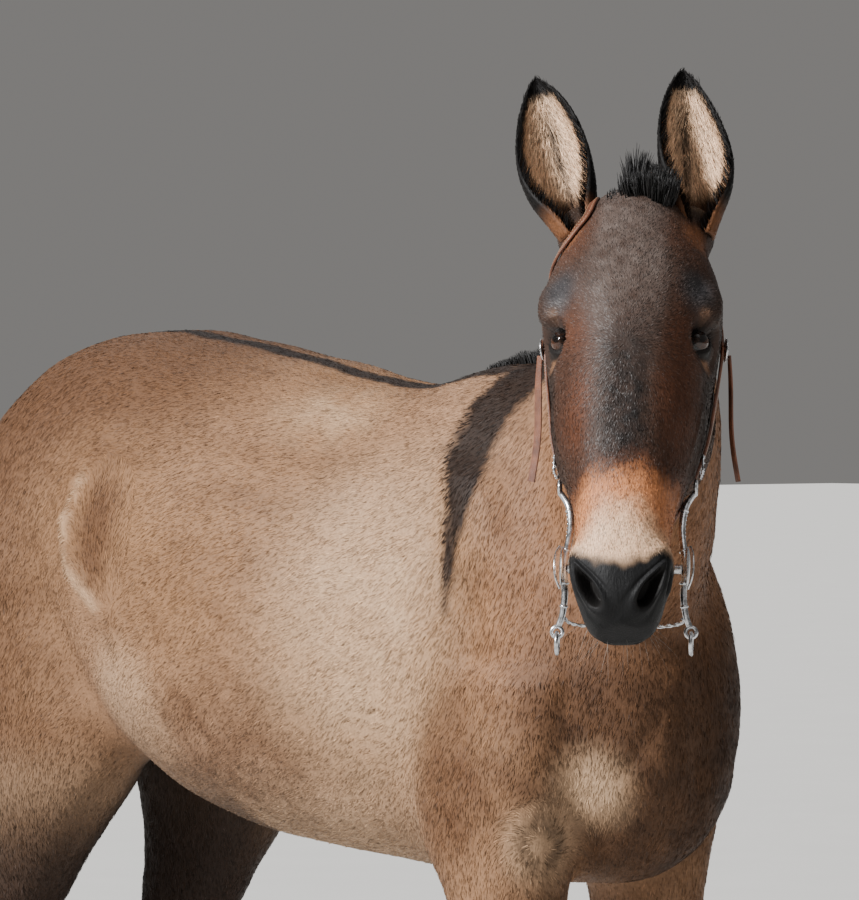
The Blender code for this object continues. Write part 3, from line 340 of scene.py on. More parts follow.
# A mesh after one modifier
def withModifier(mesh, kind, **settings):
    carrier = bpy.data.objects.new("carrier", mesh)
    bpy.context.scene.collection.objects.link(carrier)
    modifier = carrier.modifiers.new("step", kind)
    for name, value in settings.items():
        if name == "weights":
            group = carrier.vertex_groups.new(name="weights")
            for level in np.unique(value):
                group.add(np.flatnonzero(value == level).tolist(), float(level), "REPLACE")
            modifier.vertex_group = "weights"
        else:
            setattr(modifier, name, value)
    graph = bpy.context.evaluated_depsgraph_get()
    graph.update()
    result = bpy.data.meshes.new_from_object(carrier.evaluated_get(graph))
    bpy.data.objects.remove(carrier)
    return result


def paint(mesh, colours):
    tint = mesh.color_attributes.new(name="coatTint", type="FLOAT_COLOR", domain="POINT")
    whole = np.ones((len(mesh.vertices), 4), np.float32)
    whole[:, :3] = colours
    tint.data.foreach_set("color", whole.ravel())


# A merged copy of a solid, a little swollen, and drawn to its middle by a scale
def mergedPart(node, swell, scale=None):
    part = bmesh.new()
    part.from_mesh(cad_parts[node].data)
    bmesh.ops.remove_doubles(part, verts=part.verts, dist=0.00001)
    part.normal_update()
    middle = boxMiddle(node)
    moves = [(vertex, vertex.normal * swell) for vertex in part.verts]
    for vertex, move in moves:
        if scale:
            vertex.co = middle + (vertex.co - middle) * scale
        vertex.co += move
    return part


def meshFrom(bm, name):
    mesh = bpy.data.meshes.new(name)
    bm.to_mesh(mesh)
    bm.free()
    return mesh


def joined(parts):
    whole = bmesh.new()
    for part in parts:
        mesh = meshFrom(part, "part")
        whole.from_mesh(mesh)
        bpy.data.meshes.remove(mesh)
    return meshFrom(whole, "joined")


# Drops every loose surface but the largest
def largestPart(mesh):
    bm = bmesh.new()
    bm.from_mesh(mesh)
    bm.verts.ensure_lookup_table()
    seen = np.zeros(len(bm.verts), bool)
    best = []
    for vertex in bm.verts:
        if seen[vertex.index]:
            continue
        island = [vertex]
        seen[vertex.index] = True
        for current in island:
            for edge in current.link_edges:
                other = edge.other_vert(current)
                if not seen[other.index]:
                    seen[other.index] = True
                    island.append(other)
        if len(island) > len(best):
            best = island
    keep = set(vertex.index for vertex in best)
    loose = [vertex for vertex in bm.verts if vertex.index not in keep]
    if loose:
        bmesh.ops.delete(bm, geom=loose, context="VERTS")
    bm.to_mesh(mesh)
    bm.free()
    return mesh


# How far points are from a path, and how far along it the nearest place is
def lineDistance(points, path):
    best = np.full(len(points), 9.0)
    along = np.zeros(len(points))
    for index, (start, end) in enumerate(zip(path, path[1:])):
        start, end = np.array(start, float), np.array(end, float)
        way = end - start
        share = np.clip((points - start) @ way / (way @ way), 0, 1)
        distance = np.linalg.norm(points - start - share[:, None] * way, axis=1)
        nearer = distance < best
        best = np.where(nearer, distance, best)
        along = np.where(nearer, (index + share) / (len(path) - 1), along)
    return best, along


# How far along a path each of its points is
def runLengths(points):
    return np.concatenate([[0], np.cumsum(np.linalg.norm(np.diff(points, axis=0), axis=1))])


# Rows read off at places between the known ones
def rowsAt(where, known, rows):
    return np.stack([np.interp(where, known, column) for column in rows.T], -1)


# A row of points drawn together, its ends kept
def smoothed(points, rounds):
    for turn in range(rounds):
        points[1:-1] = (points[:-2] + 2 * points[1:-1] + points[2:]) / 4
    return points


# The same points with the animal's left folded onto its right side
def mirrored(points):
    return np.column_stack([-np.abs(points[:, 0]), points[:, 1], points[:, 2]])


# Colours

hues = {
    "tan": (0.220, 0.115, 0.056), "rosy": (0.262, 0.148, 0.084), "pale": (0.500, 0.330, 0.200),
    "brown": (0.088, 0.040, 0.0180), "dark": (0.019, 0.0098, 0.0058), "black": (0.0045, 0.0036, 0.0032),
    "stripe": (0.0060, 0.0026, 0.0019), "red": (0.072, 0.025, 0.0110), "orange": (0.44, 0.172, 0.070),
    "cream": (0.66, 0.44, 0.28), "face": (0.036, 0.0195, 0.0132), "nose": (0.0046, 0.0046, 0.0048),
    "noseTop": (0.0054, 0.0054, 0.0058), "grey": (0.088, 0.066, 0.056), "slate": (0.026, 0.027, 0.030),
    "eyePatch": (0.230, 0.115, 0.058),
}
hues = {name: np.array(colour) for name, colour in hues.items()}

shoulderStripe = {   # down the right shoulder, with its half width at each place
    "path": [(-0.005, 0.026, 1.500), (-0.047, 0.035, 1.476), (-0.096, 0.046, 1.437), (-0.132, 0.045, 1.385),
             (-0.160, 0.027, 1.346), (-0.176, 0.023, 1.294), (-0.184, 0.022, 1.242), (-0.191, 0.019, 1.178)],
    "half": [0.034, 0.036, 0.038, 0.036, 0.029, 0.020, 0.012, 0.002],
}
whorlRidge = [(-0.262, 0.724, 1.345), (-0.267, 0.760, 1.282), (-0.276, 0.740, 1.213), (-0.293, 0.650, 1.163)]


# Smooth blotches from -1 to 1, about so many metres long
def waves(points, length, seed, count=9):
    draw = np.random.default_rng(seed)
    total = np.zeros(len(points))
    for turn in range(count):
        way = unit(draw.normal(size=3)) * 2 * math.pi / (length * draw.uniform(0.6, 1.8))
        total += np.sin(points @ way + draw.uniform(0, 6.3))
    return total / count ** 0.5 / 1.2


def blend(colours, name, share):
    return colours + (hues[name] - colours) * np.clip(share, 0, 1)[:, None]


# 1 in the middle of a round patch, 0 outside it
def spot(points, centre, radius, edge=0.5):
    radii = np.ones(3) * np.array(radius)
    distance = np.linalg.norm((points - np.array(centre)) / radii, axis=1)
    return 1 - eased(distance, 1 - edge, 1 + edge)


def bodyColour(body):
    side = mirrored(body)
    y, z = side[:, 1], side[:, 2]
    blotch = waves(body, 0.35, 1)
    fleck = waves(body, 0.045, 2)
    colours = np.tile(hues["tan"], (len(body), 1))
    colours = blend(colours, "rosy", 0.50 + 0.5 * blotch)
    colours = blend(colours, "brown", 0.17 + 0.20 * fleck + 0.12 * waves(body, 0.13, 8))
    loin = eased(z, 1.30, 1.47) * eased(y, 0.36, 0.66)
    colours = blend(colours, "brown", loin * (0.90 + 0.10 * blotch))
    colours = blend(colours, "brown", eased(y, 0.70, 0.95) * (0.72 + 0.20 * blotch))
    neckShare = (1 - eased(y, -0.12, 0.04)) * eased(z, 0.98, 1.14)
    colours = blend(colours, "brown", neckShare * (0.42 + 0.16 * blotch))
    colours = blend(colours, "orange", neckShare * 0.14)
    colours = blend(colours, "pale", (1 - eased(z, 0.86, 0.99)) * eased(y, 0.05, 0.25) * 0.62)
    colours = blend(colours, "pale", spot(side, (-0.270, 0.600, 1.010), (0.10, 0.085, 0.10)) * 0.42)
    # painted highlight: the middle of the barrel made paler, as where the light falls on it
    barrelHighlight = spot(side, (-0.260, 0.130, 1.160), (0.16, 0.15, 0.21), 0.75) * eased(y, -0.06, 0.10)
    colours = blend(colours, "pale", barrelHighlight * (0.62 + 0.10 * fleck))
    lower = spot(side, (-0.240, 0.440, 0.960), (0.14, 0.16, 0.10), 0.7)
    colours = blend(colours, "brown", lower * (0.45 + 0.25 * fleck))
    # painted shade in the hollow beside the flank whorl's ridge
    colours = blend(colours, "brown", spot(side, (-0.284, 0.668, 1.265), (0.05, 0.042, 0.085)) * 0.85)
    # painted highlight along the flank whorl's ridge
    ridge = lineDistance(side, whorlRidge)[0]
    colours = blend(colours, "pale", (1 - eased(ridge, 0.003, 0.016)) * 0.40)
    chest = (1 - eased(y, -0.20, -0.06)) * (1 - eased(z, 1.06, 1.26))
    colours = blend(colours, "brown", chest * 0.85)
    # the chest darker brown, its own colour, and darker still towards its left side, which is painted shade
    colours = blend(colours, "dark", chest * (0.42 + 0.12 * fleck + 0.30 * eased(body[:, 0], -0.04, 0.06)))
    # painted pool of light on the lower chest
    colours = blend(colours, "pale", spot(body, (-0.118, -0.187, 0.955), (0.05, 0.04, 0.045), 0.7) * 0.65)
    whorl = np.linalg.norm(body - np.array([-0.163, -0.142, 0.880]), axis=1)
    colours = blend(colours, "pale", (1 - eased(whorl, 0.02, 0.075)) * 0.5)
    colours = blend(colours, "dark", (1 - eased(np.abs(whorl - 0.026), 0.004, 0.013)) * 0.60)
    elbow = spot(side, (-0.215, -0.010, 0.960), (0.07, 0.075, 0.11), 0.6)
    colours = blend(colours, "brown", elbow * (0.85 + 0.15 * fleck))
    # legs darker towards the hooves, their own colour; on the hind legs the darkening starts high on the
    # thigh, which is painted shade
    fore = y < 0.45
    legTop = np.where(fore, 0.82, 1.06)
    legLow = np.where(fore, 0.58, 0.72)
    leg = 1 - np.clip((z - legLow) / (legTop - legLow), 0, 1)
    colours = blend(colours, "brown", leg)
    colours = blend(colours, "dark", eased(leg, 0.25, 0.9) * 0.92)
    colours = blend(colours, "black", (1 - eased(z, 0.16, 0.52)) * 0.7)
    # painted shade on the inner sides of the hind thighs, under the body
    inner = eased(side[:, 0], -0.155, -0.105) * (1 - eased(z, 0.98, 1.10)) * eased(y, 0.55, 0.72)
    colours = blend(colours, "dark", inner * 0.85)
    # painted sheen highlight: a pale patch on the back behind the withers
    backSheen = spot(side, (-0.125, 0.330, 1.432), (0.08, 0.085, 0.045), 0.6)
    colours = blend(colours, "pale", backSheen * (0.30 + 0.2 * fleck))
    back = np.abs(body[:, 0] + 0.024) + 0.003 * fleck
    spine = (1 - eased(back, 0.014, 0.022)) * eased(z, 1.36, 1.42) * eased(y, 0.02, 0.08)
    colours = blend(colours, "stripe", spine * 0.96)
    distance, along = lineDistance(side, shoulderStripe["path"])
    half = np.interp(along, np.linspace(0, 1, len(shoulderStripe["half"])), shoulderStripe["half"])
    edge = distance - half + 0.0025 * waves(body, 0.03, 3)
    colours = blend(colours, "stripe", (1 - eased(edge, -0.005, 0.007)) * 0.95)
    return colours


headSpots = [   # hue, middle, radii, soft edge, strength
    ("eyePatch", (0.160, -0.021, 0.086), (0.009, 0.010, 0.009), 0.6, 0.80),
    ("eyePatch", (0.212, -0.050, 0.091), (0.008, 0.012, 0.010), 0.6, 0.75),
    ("dark", (0.004, -0.058, 0.068), (0.030, 0.030, 0.026), 0.5, 0.85),
    ("orange", (0.046, -0.034, 0.076), (0.022, 0.020, 0.020), 0.6, 0.34),
]


def headColour(points):
    head = headCoords(points)
    folded = foldedHead(head)
    down, out, left = folded.T
    fleck = waves(head, 0.020, 4)
    blotch = waves(head, 0.09, 5)
    colours = np.tile(hues["face"], (len(points), 1))
    # the forehead and nose bone greyer: partly the coat's own grey, partly painted sheen
    colours = blend(colours, "grey", (1 - eased(down, 0.10, 0.30)) * (1 - eased(left, 0.030, 0.058))
                    * (0.62 + 0.30 * fleck))
    colours = blend(colours, "red", spot(folded, (0.060, -0.030, 0.066), (0.050, 0.040, 0.030), 0.6) * 0.65)
    colours = blend(colours, "red", spot(folded, (0.262, -0.012, 0.061), (0.100, 0.055, 0.025), 0.6)
                    * (0.85 + 0.3 * blotch))
    colours = blend(colours, "black", (1 - eased(left, 0.014, 0.036)) * eased(out, -0.03, 0.0)
                    * eased(down, 0.17, 0.24) * (1 - eased(down, 0.355, 0.40)) * (0.66 + 0.25 * fleck))
    # painted sheen: a bluish grey highlight on each brow
    colours = blend(colours, "slate", spot(folded, (0.137, -0.012, 0.078), (0.026, 0.026, 0.022), 0.6) * 0.80)
    # the sides of the face below the cheeks darker: partly the face's own colour, partly painted shade
    colours = blend(colours, "black", eased(left, 0.076, 0.092) * (1 - eased(out, -0.06, -0.03))
                    * eased(down, 0.19, 0.24) * (1 - eased(down, 0.33, 0.40)) * 0.45)
    colours = blend(colours, "brown", (1 - eased(out, -0.17, -0.10)) * 0.50)
    band = down + 0.008 * blotch + 0.005 * fleck + 0.16 * np.clip(-0.02 - out, 0, 0.2) \
        - 0.020 * eased(left, 0.030, 0.060)
    colours = blend(colours, "red", eased(band, 0.345, 0.388) * 0.9)
    colours = blend(colours, "orange", eased(band, 0.366, 0.412) * 0.95)
    colours = blend(colours, "cream", eased(band, 0.415, 0.468) * 0.90)
    lip = down + 0.005 * blotch + 0.002 * fleck - 0.007 * (1 - eased(left, 0.006, 0.030)) \
        + 0.017 * eased(left, 0.026, 0.056)
    snout = eased(lip, 0.486, 0.503)
    # painted sheen: the top of the nose a little lighter than its lower part and its underside
    colours = blend(colours, "noseTop", snout)
    colours = blend(colours, "nose", snout * eased(down + 0.004 * fleck, 0.506, 0.534) * 0.75)
    colours = blend(colours, "nose", snout * (1 - eased(out, -0.060, -0.035)) * 0.6)
    # painted shade: the hollows of the nostrils blended to black
    for side in (-1, 1):
        share = nostrilShare(points, side)[0]
        colours = blend(colours, "black", (1 - eased(share, 0.85, 1.20)) * 0.97)
    for name, centre, radii, edge, strength in headSpots:
        colours = blend(colours, name, spot(folded, centre, radii, edge) * strength)
    eye = np.linalg.norm(folded - np.array(eyePlace), axis=1)
    colours = blend(colours, "black", (1 - eased(eye, 0.0245, 0.030)) * 0.94)
    return colours


# 1 on the head, 0 on the neck
def headShare(points):
    head = headCoords(points)
    back = 0.697 * (head[:, 0] + 0.03) + 0.717 * (head[:, 1] + 0.11)
    share = eased(back, -0.035, 0.035) * (bodyCoords(points)[:, 2] > 1.02)
    return share * (1 - eased(np.linalg.norm(head - headMiddle, axis=1), 0.40, 0.46))


def coatColour(points):
    share = headShare(points)[:, None]
    return bodyColour(bodyCoords(points)) * (1 - share) + headColour(points) * share


# The skin

skinBuild = {
    "swell": 0.0025, "voxel": 0.0042, "rounds": 56, "bodyTriangles": 71000,
    "bodyDepth": 0.0036, "faceDepth": 0.0012, "legDepth": 0.0022,
}
fleshNodes = ("head", "neck", "torso", "foreleg_left", "foreleg_right", "hindleg_left", "hindleg_right")


def ontoHead(points):
    head = headCoords(points)
    near = np.linalg.norm(head - headMiddle, axis=1)
    return (near < 0.37) & (bodyCoords(points)[:, 1] < -0.34)


def roughSkin():
    swell = skinBuild["swell"]
    parts = [mergedPart(node, swell) for node in fleshNodes + ("eye_left", "eye_right")]
    parts.append(mergedPart("bit_mouthpiece", swell, 0.72))
    mesh = withModifier(joined(parts), "REMESH", mode="VOXEL", voxel_size=skinBuild["voxel"])
    mesh = largestPart(mesh)
    points = readVertices(mesh)
    body = bodyCoords(points)
    weight = np.full(len(points), 0.5)
    weight = np.where(body[:, 2] < 0.80, 0.10 + 0.40 * eased(body[:, 2], 0.62, 0.80), weight)
    weight = np.where(body[:, 2] < 0.62, 0.10, weight)
    near = np.linalg.norm(headCoords(points) - headMiddle, axis=1)
    face = (1 - eased(near, 0.33, 0.42)) * (body[:, 1] < -0.30)
    weight = weight * (1 - face) + 0.085 * face
    points = relaxed(points, readEdges(mesh), weight, skinBuild["rounds"])
    writeVertices(mesh, points)
    print("rough skin", len(mesh.polygons), "faces")
    onHeadNow = ontoHead(points)
    triangles = 2 * len(mesh.polygons)
    headTriangles = 2 * int(onHeadNow.sum())
    return withModifier(mesh, "DECIMATE", weights=np.where(onHeadNow, 0.0, 1.0),
                        ratio=(headTriangles + skinBuild["bodyTriangles"]) / triangles)


nostrilShape = {"place": (0.524, -0.024, 0.037), "reach": 0.0265, "half": 0.0102, "depth": 0.019}


def mouthPath():
    path = []
    for index in range(17):
        turn = math.pi * (index / 16 - 0.5)
        reach = math.cos(turn)
        path.append((0.462 + 0.103 * reach ** 0.8, -0.094 - 0.004 * reach, 0.056 * math.sin(turn)))
    return path


# Smaller faces round the eyes, the nostrils and the lips
def refineFeatures(mesh):
    eyes = [placed(eyePlace, side) for side in (-1, 1)]
    nostrils = [placed(nostrilShape["place"], side) for side in (-1, 1)]
    mouth = [onHead(*place) for place in mouthPath()]
    for places, reach in ((eyes, 0.046), (eyes, 0.034), (nostrils, 0.044), (nostrils, 0.036),
                          (mouth, 0.013)):
        bm = bmesh.new()
        bm.from_mesh(mesh)
        middles = np.array([(edge.verts[0].co + edge.verts[1].co) / 2 for edge in bm.edges])
        near = np.zeros(len(middles), bool)
        for place in places:
            near |= np.linalg.norm(middles - np.array(place), axis=1) < reach
        edges = [edge for edge, wanted in zip(bm.edges, near) if wanted]
        bmesh.ops.subdivide_edges(bm, edges=edges, cuts=1, use_grid_fill=True)
        bmesh.ops.triangulate(bm, faces=[face for face in bm.faces if len(face.verts) > 4])
        bm.to_mesh(mesh)
        bm.free()
    return mesh


# on the head, down, out, to the side: each on both sides, with radius and height
headBumps = [
    ((0.122, -0.020, 0.078), 0.017, -0.0060),     # hollow above the eye
    ((0.150, -0.012, 0.086), 0.012, 0.0030),      # brow
    ((0.235, -0.050, 0.088), 0.013, -0.0018),     # below the eye
    ((0.335, -0.022, 0.062), 0.022, -0.0030),     # beside the nose bone
    ((0.395, -0.040, 0.058), 0.020, -0.0018),
    ((0.240, -0.175, 0.085), 0.045, 0.0030),      # jaw muscle
    ((0.478, -0.030, 0.045), 0.016, 0.0025),      # above the nostril
    ((0.530, -0.030, 0.020), 0.014, 0.0018),      # upper lip
    ((0.522, -0.055, 0.0), 0.008, -0.0012),
]
# the same, as lines: path, half width, height
headLines = [
    ([(0.235, -0.050, 0.097), (0.275, -0.066, 0.096), (0.318, -0.074, 0.088), (0.350, -0.076, 0.078)],
     0.0060, 0.0034),                                                          # ridge of the cheek
    ([(0.360, -0.050, 0.066), (0.325, -0.050, 0.078), (0.285, -0.045, 0.086), (0.250, -0.058, 0.094)],
     0.0030, 0.0020),                                                          # veins
    ([(0.365, -0.055, 0.066), (0.400, -0.060, 0.060), (0.440, -0.052, 0.058)], 0.0026, 0.0016),
    ([(0.330, -0.120, 0.082), (0.300, -0.150, 0.088), (0.270, -0.190, 0.080)], 0.0030, 0.0018),
    ([(0.455, -0.086, 0.058), (0.440, -0.080, 0.060), (0.425, -0.066, 0.060)], 0.0030, -0.0020),
    ([(0.452, -0.100, 0.056), (0.440, -0.108, 0.056), (0.430, -0.122, 0.052)], 0.0030, -0.0016),
    ([(0.160, 0.024, 0.0), (0.240, 0.030, 0.0), (0.330, 0.020, 0.0)], 0.0120, -0.0014),
]
# on the body's right side, mirrored: path, half width, height
bodyLines = [
    (whorlRidge, 0.0100, 0.0050),
    ([(-0.150, -0.060, 1.300), (-0.182, -0.030, 1.180), (-0.205, -0.020, 1.060)], 0.020, -0.0060),
    ([(-0.105, -0.170, 1.250), (-0.135, -0.165, 1.120), (-0.150, -0.155, 1.000)], 0.012, -0.0035),
    ([(-0.170, -0.100, 1.330), (-0.176, -0.075, 1.250), (-0.182, -0.070, 1.170)], 0.008, -0.0025),
    ([(-0.130, -0.110, 1.370), (-0.150, -0.090, 1.300)], 0.007, -0.0020),
    ([(-0.250, 0.640, 1.080), (-0.255, 0.655, 1.000), (-0.225, 0.690, 0.930)], 0.016, -0.0060),
    ([(-0.235, 0.560, 0.960), (-0.265, 0.590, 1.060), (-0.290, 0.600, 1.150)], 0.020, 0.0060),
    ([(-0.215, 0.120, 1.100), (-0.225, 0.140, 0.980), (-0.215, 0.130, 0.900)], 0.018, -0.0045),
    ([(-0.060, -0.262, 1.060), (-0.090, -0.235, 0.990), (-0.130, -0.200, 0.930)], 0.010, -0.0040),
    ([(0.0, -0.262, 1.120), (0.0, -0.270, 1.000), (0.0, -0.250, 0.920)], 0.012, -0.0080),
    ([(-0.150, 0.718, 1.515), (-0.185, 0.700, 1.455), (-0.215, 0.690, 1.400)], 0.022, 0.0040),
    ([(-0.020, 0.560, 1.530), (-0.030, 0.760, 1.560)], 0.030, 0.0030),
]
for ribIndex in range(7):
    ribAt = 0.20 + 0.058 * ribIndex
    bodyLines.append(([(-0.215, ribAt - 0.03, 1.28), (-0.262, ribAt, 1.15), (-0.255, ribAt + 0.02, 1.02)],
                      0.011, 0.0013))


# A long swelling along a path, which fades towards its ends
def ridgeAlong(points, path, half, height, ends, power):
    distance, along = lineDistance(points, path)
    fade = np.sin(math.pi * np.clip(along, *ends)) ** power
    return height * np.exp(-(distance / half) ** 2) * fade


# The points raised or sunk along their normals by the features
def addRelief(points, normals):
    head = headCoords(points)
    folded = foldedHead(head)
    side = mirrored(bodyCoords(points))
    relief = np.zeros(len(points))
    face = ontoHead(points)
    local = np.zeros(int(face.sum()))
    for centre, radius, height in headBumps:
        local += height * np.exp(-(np.linalg.norm(folded[face] - np.array(centre), axis=1) / radius) ** 2)
    for path, half, height in headLines:
        local += ridgeAlong(folded[face], path, half, height, (0.08, 0.92), 0.5)
    lips = lineDistance(head[face], mouthPath())[0]
    for radius, height in ((0.0026, -0.0060), (0.0100, 0.0016)):
        local += height * np.exp(-(lips / radius) ** 2)
    relief[face] = local
    rest = ~face
    local = np.zeros(int(rest.sum()))
    for path, half, height in bodyLines:
        local += ridgeAlong(side[rest], path, half, height, (0.1, 0.9), 0.6)
    local += 0.0012 * waves(side[rest], 0.11, 7) * eased(side[rest][:, 2], 0.6, 0.9)
    relief[rest] = local
    return points + normals * relief[:, None]


# Where an eyeball looks, along its lids and up to its brow
def eyeAxes(side):
    outward = headWay(-0.02, 0.70, 0.71 * side)
    along = headWay(math.cos(math.radians(35)), math.sin(math.radians(35)), -0.25 * side)
    along = (along - outward * along.dot(outward)).normalized()
    up = outward.cross(along)
    if up.dot(downFace) > 0:
        up = -up
    return outward, along, up


lidShape = {"length": 0.0198, "upper": 0.0152, "lower": 0.0120, "thick": 0.0018}


# Distance outside the opening between the lids, and less than 0 inside it
def lidGap(along, up):
    share = np.clip(np.abs(along) / lidShape["length"], 0, 1)
    height = np.where(up > 0, lidShape["upper"], lidShape["lower"]) * (1 - share ** 2.1)
    beyond = np.maximum(np.abs(along) - lidShape["length"], 0)
    return np.where(beyond > 0, np.hypot(beyond, up), np.abs(up) - height)


def carveEye(points, side):
    centre = np.array(placed(eyePlace, side))
    outward, along, up = (np.array(axis) for axis in eyeAxes(side))
    offset = points - centre
    radius = np.linalg.norm(offset, axis=1)
    near = (radius < 0.040) & (offset @ outward > 0.0)
    local = offset[near]
    x, y = local @ along, local @ up
    flat = eyeRadius / np.maximum(radius[near], 1e-6)
    gap = lidGap(x * flat, y * flat)
    lid = eyeRadius + lidShape["thick"] * (0.55 + 0.9 * eased(gap, 0, 0.0035))
    wanted = radius[near] + (np.maximum(lid, 0) - radius[near]) * (1 - eased(gap, 0.0035, 0.0120))
    wanted = np.where(gap < 0, eyeRadius - 0.0045, wanted)
    upper = y > 0
    crease = np.where(upper, -0.0015, -0.0009) * np.exp(-((gap - 0.0072) / 0.0015) ** 2)
    crease += np.where(upper, -0.0010, -0.0007) * np.exp(-((gap - 0.0118) / 0.0017) ** 2)
    crease += np.where(upper, 0.0010, 0.0006) * np.exp(-((gap - 0.0042) / 0.0018) ** 2)
    wanted = wanted + np.where(gap > 0, crease, 0)
    points[near] = centre + local / np.maximum(radius[near], 1e-6)[:, None] * wanted[:, None]
    return points


# How far out from a nostril's middle points lie, 1 at its rim, and which way it opens
def nostrilShare(points, side):
    offset = points - np.array(placed(nostrilShape["place"], side))
    outward = headWay(0.16, 0.80, 0.58 * side)
    long = headWay(0.93, 0.0, -0.34 * side)
    long = (long - outward * long.dot(outward)).normalized()
    across = outward.cross(long)
    x, y = offset @ np.array(long), offset @ np.array(across)
    reach = nostrilShape["reach"]
    wide = nostrilShape["half"] * np.clip(1.0 + 0.42 * x / reach, 0.35, 1.5)
    share = np.sqrt((x / reach) ** 2 + (y / wide) ** 2)
    near = (np.linalg.norm(offset, axis=1) < 0.050) & (offset @ np.array(outward) > -0.030)
    return np.where(near, share, 9.0), np.array(outward)


def carveNostril(points, side):
    share, outward = nostrilShare(points, side)
    points = points - outward * (nostrilShape["depth"] * (1 - eased(share, 0.40, 1.0)))[:, None]
    rim = 0.0024 * np.exp(-((share - 1.18) / 0.17) ** 2) - 0.0012 * np.exp(-((share - 1.62) / 0.22) ** 2)
    return points + outward * rim[:, None]


def buildSkin():
    mesh = refineFeatures(roughSkin())
    points = readVertices(mesh)
    normals = readVertices(mesh, "normal")
    body = bodyCoords(points)
    face = headShare(points)
    depth = np.full(len(points), skinBuild["bodyDepth"])
    depth = np.where(body[:, 2] < 0.75, skinBuild["legDepth"], depth)
    depth = depth * (1 - face) + skinBuild["faceDepth"] * face
    points = points - normals * (depth + skinBuild["swell"])[:, None]
    writeVertices(mesh, points)
    points = addRelief(points, readVertices(mesh, "normal"))
    for side in (-1, 1):
        points = carveNostril(carveEye(points, side), side)
    points[:, 2] = np.maximum(points[:, 2], 0.03)
    writeVertices(mesh, points)
    mesh.shade_smooth()
    paint(mesh, coatColour(points))
    print("skin", sum(len(face.vertices) - 2 for face in mesh.polygons), "triangles")
    return mesh


# The coat: thin tapered tufts that lie along the body

# Which way the hair lies at each root
def lieOf(points, normals):
    body = bodyCoords(points)
    side = mirrored(body)
    y, z = body[:, 1], body[:, 2]
    lie = np.tile(np.array([0.0, 0.80, -0.42]), (len(points), 1))
    rump = eased(y, 0.70, 0.95)[:, None]
    lie = lie * (1 - rump) + np.array([0, 0.45, -0.90]) * rump
    front = (1 - eased(y, -0.06, 0.16))[:, None]
    lie = lie * (1 - front) + np.array([0, 0.30, -0.95]) * front
    leg = (1 - eased(z, 0.78, 0.98))[:, None]
    limb = ((y < 0.16) | (y > 0.62))[:, None] * leg
    lie = lie * (1 - limb) + np.array([0, 0.12, -1.0]) * limb
    flank = spot(side, (-0.285, 0.655, 1.260), (0.09, 0.075, 0.12), 0.5)[:, None]
    centre = side - np.array([-0.285, 0.640, 1.215])
    swirl = np.column_stack([np.zeros(len(points)), centre[:, 1] * 0.9 - centre[:, 2] * 0.5,
                             centre[:, 2] * 0.9 + 0.06 + centre[:, 1] * 0.4])
    lie = lie * (1 - flank) + unit(swirl) * flank
    breast = spot(body, (-0.163, -0.142, 0.880), 0.06, 0.5)[:, None]
    away = body - np.array([-0.163, -0.142, 0.880])
    lie = lie * (1 - breast) + unit(away + 0.5 * np.cross(away, np.array([0.7, 0.7, 0]))) * breast
    head = headCoords(points)
    whorl = head - np.array([0.222, 0.028, 0])
    faceLie = unit(np.column_stack([whorl[:, 0], np.zeros(len(points)), whorl[:, 2] * 1.25]))
    faceLie[:, 0] += 0.8 * (1 - eased(head[:, 1], -0.10, -0.03)) + 0.5 * eased(head[:, 0], 0.24, 0.32)
    share = headShare(points)[:, None]
    lie = lie * (1 - share) + (faceLie @ headAxes) * share
    lie = lie - normals * (lie * normals).sum(1, keepdims=True)
    return unit(lie)


# Where each point falls on an unwrap of the skin: barrels round body, head and legs
def unwrapPlace(points):
    body = bodyCoords(points)
    head = headCoords(points)
    share = headShare(points)
    turn = np.arctan2(body[:, 0], body[:, 2] - 1.12) / (2 * math.pi) + 0.5
    u = 0.02 + 0.50 * turn
    v = 0.02 + 0.95 * np.clip((body[:, 1] + 0.60) / 2.0, 0, 1)
    face = share > 0.5
    headSpin = np.arctan2(head[:, 2], head[:, 1] + 0.10) / (2 * math.pi) + 0.5
    u = np.where(face, 0.54 + 0.22 * headSpin, u)
    v = np.where(face, 0.02 + 0.95 * np.clip((head[:, 0] + 0.08) / 0.68, 0, 1), v)
    leg = (body[:, 2] < 0.80) & ~face
    hind = body[:, 1] > 0.45
    middle = np.where(hind, 1.05, -0.06)
    legSpin = np.arctan2(np.abs(body[:, 0]) - 0.135, body[:, 1] - middle) / (2 * math.pi) + 0.5
    slot = hind * 2 + (body[:, 0] > 0)
    u = np.where(leg, 0.78 + 0.20 * legSpin, u)
    v = np.where(leg, 0.01 + 0.245 * slot + 0.23 * np.clip(body[:, 2] / 0.80, 0, 1), v)
    return np.column_stack([u, v])


def triangleData(mesh):
    mesh.calc_loop_triangles()
    corners = np.empty(len(mesh.loop_triangles) * 3, np.int32)
    mesh.loop_triangles.foreach_get("vertices", corners)
    return corners.reshape(-1, 3)


# Seeded places on a mesh, denser where the thickness function says, with their normals
def scatter(mesh, count, thickness):
    points = readVertices(mesh)
    normals = readVertices(mesh, "normal")
    corners = triangleData(mesh)
    a, b, c = (points[corners[:, index]] for index in range(3))
    area = np.linalg.norm(np.cross(b - a, c - a), axis=1) / 2
    chosenShare = np.cumsum(area * thickness((a + b + c) / 3))
    picks = np.searchsorted(chosenShare, chance.random(count) * chosenShare[-1])
    picks = np.minimum(picks, len(corners) - 1)
    first, second = np.sqrt(chance.random(count)), chance.random(count)
    weights = np.column_stack([1 - first, first * (1 - second), first * second])
    chosen = corners[picks]
    roots = (points[chosen] * weights[:, :, None]).sum(1)
    return roots, unit((normals[chosen] * weights[:, :, None]).sum(1))


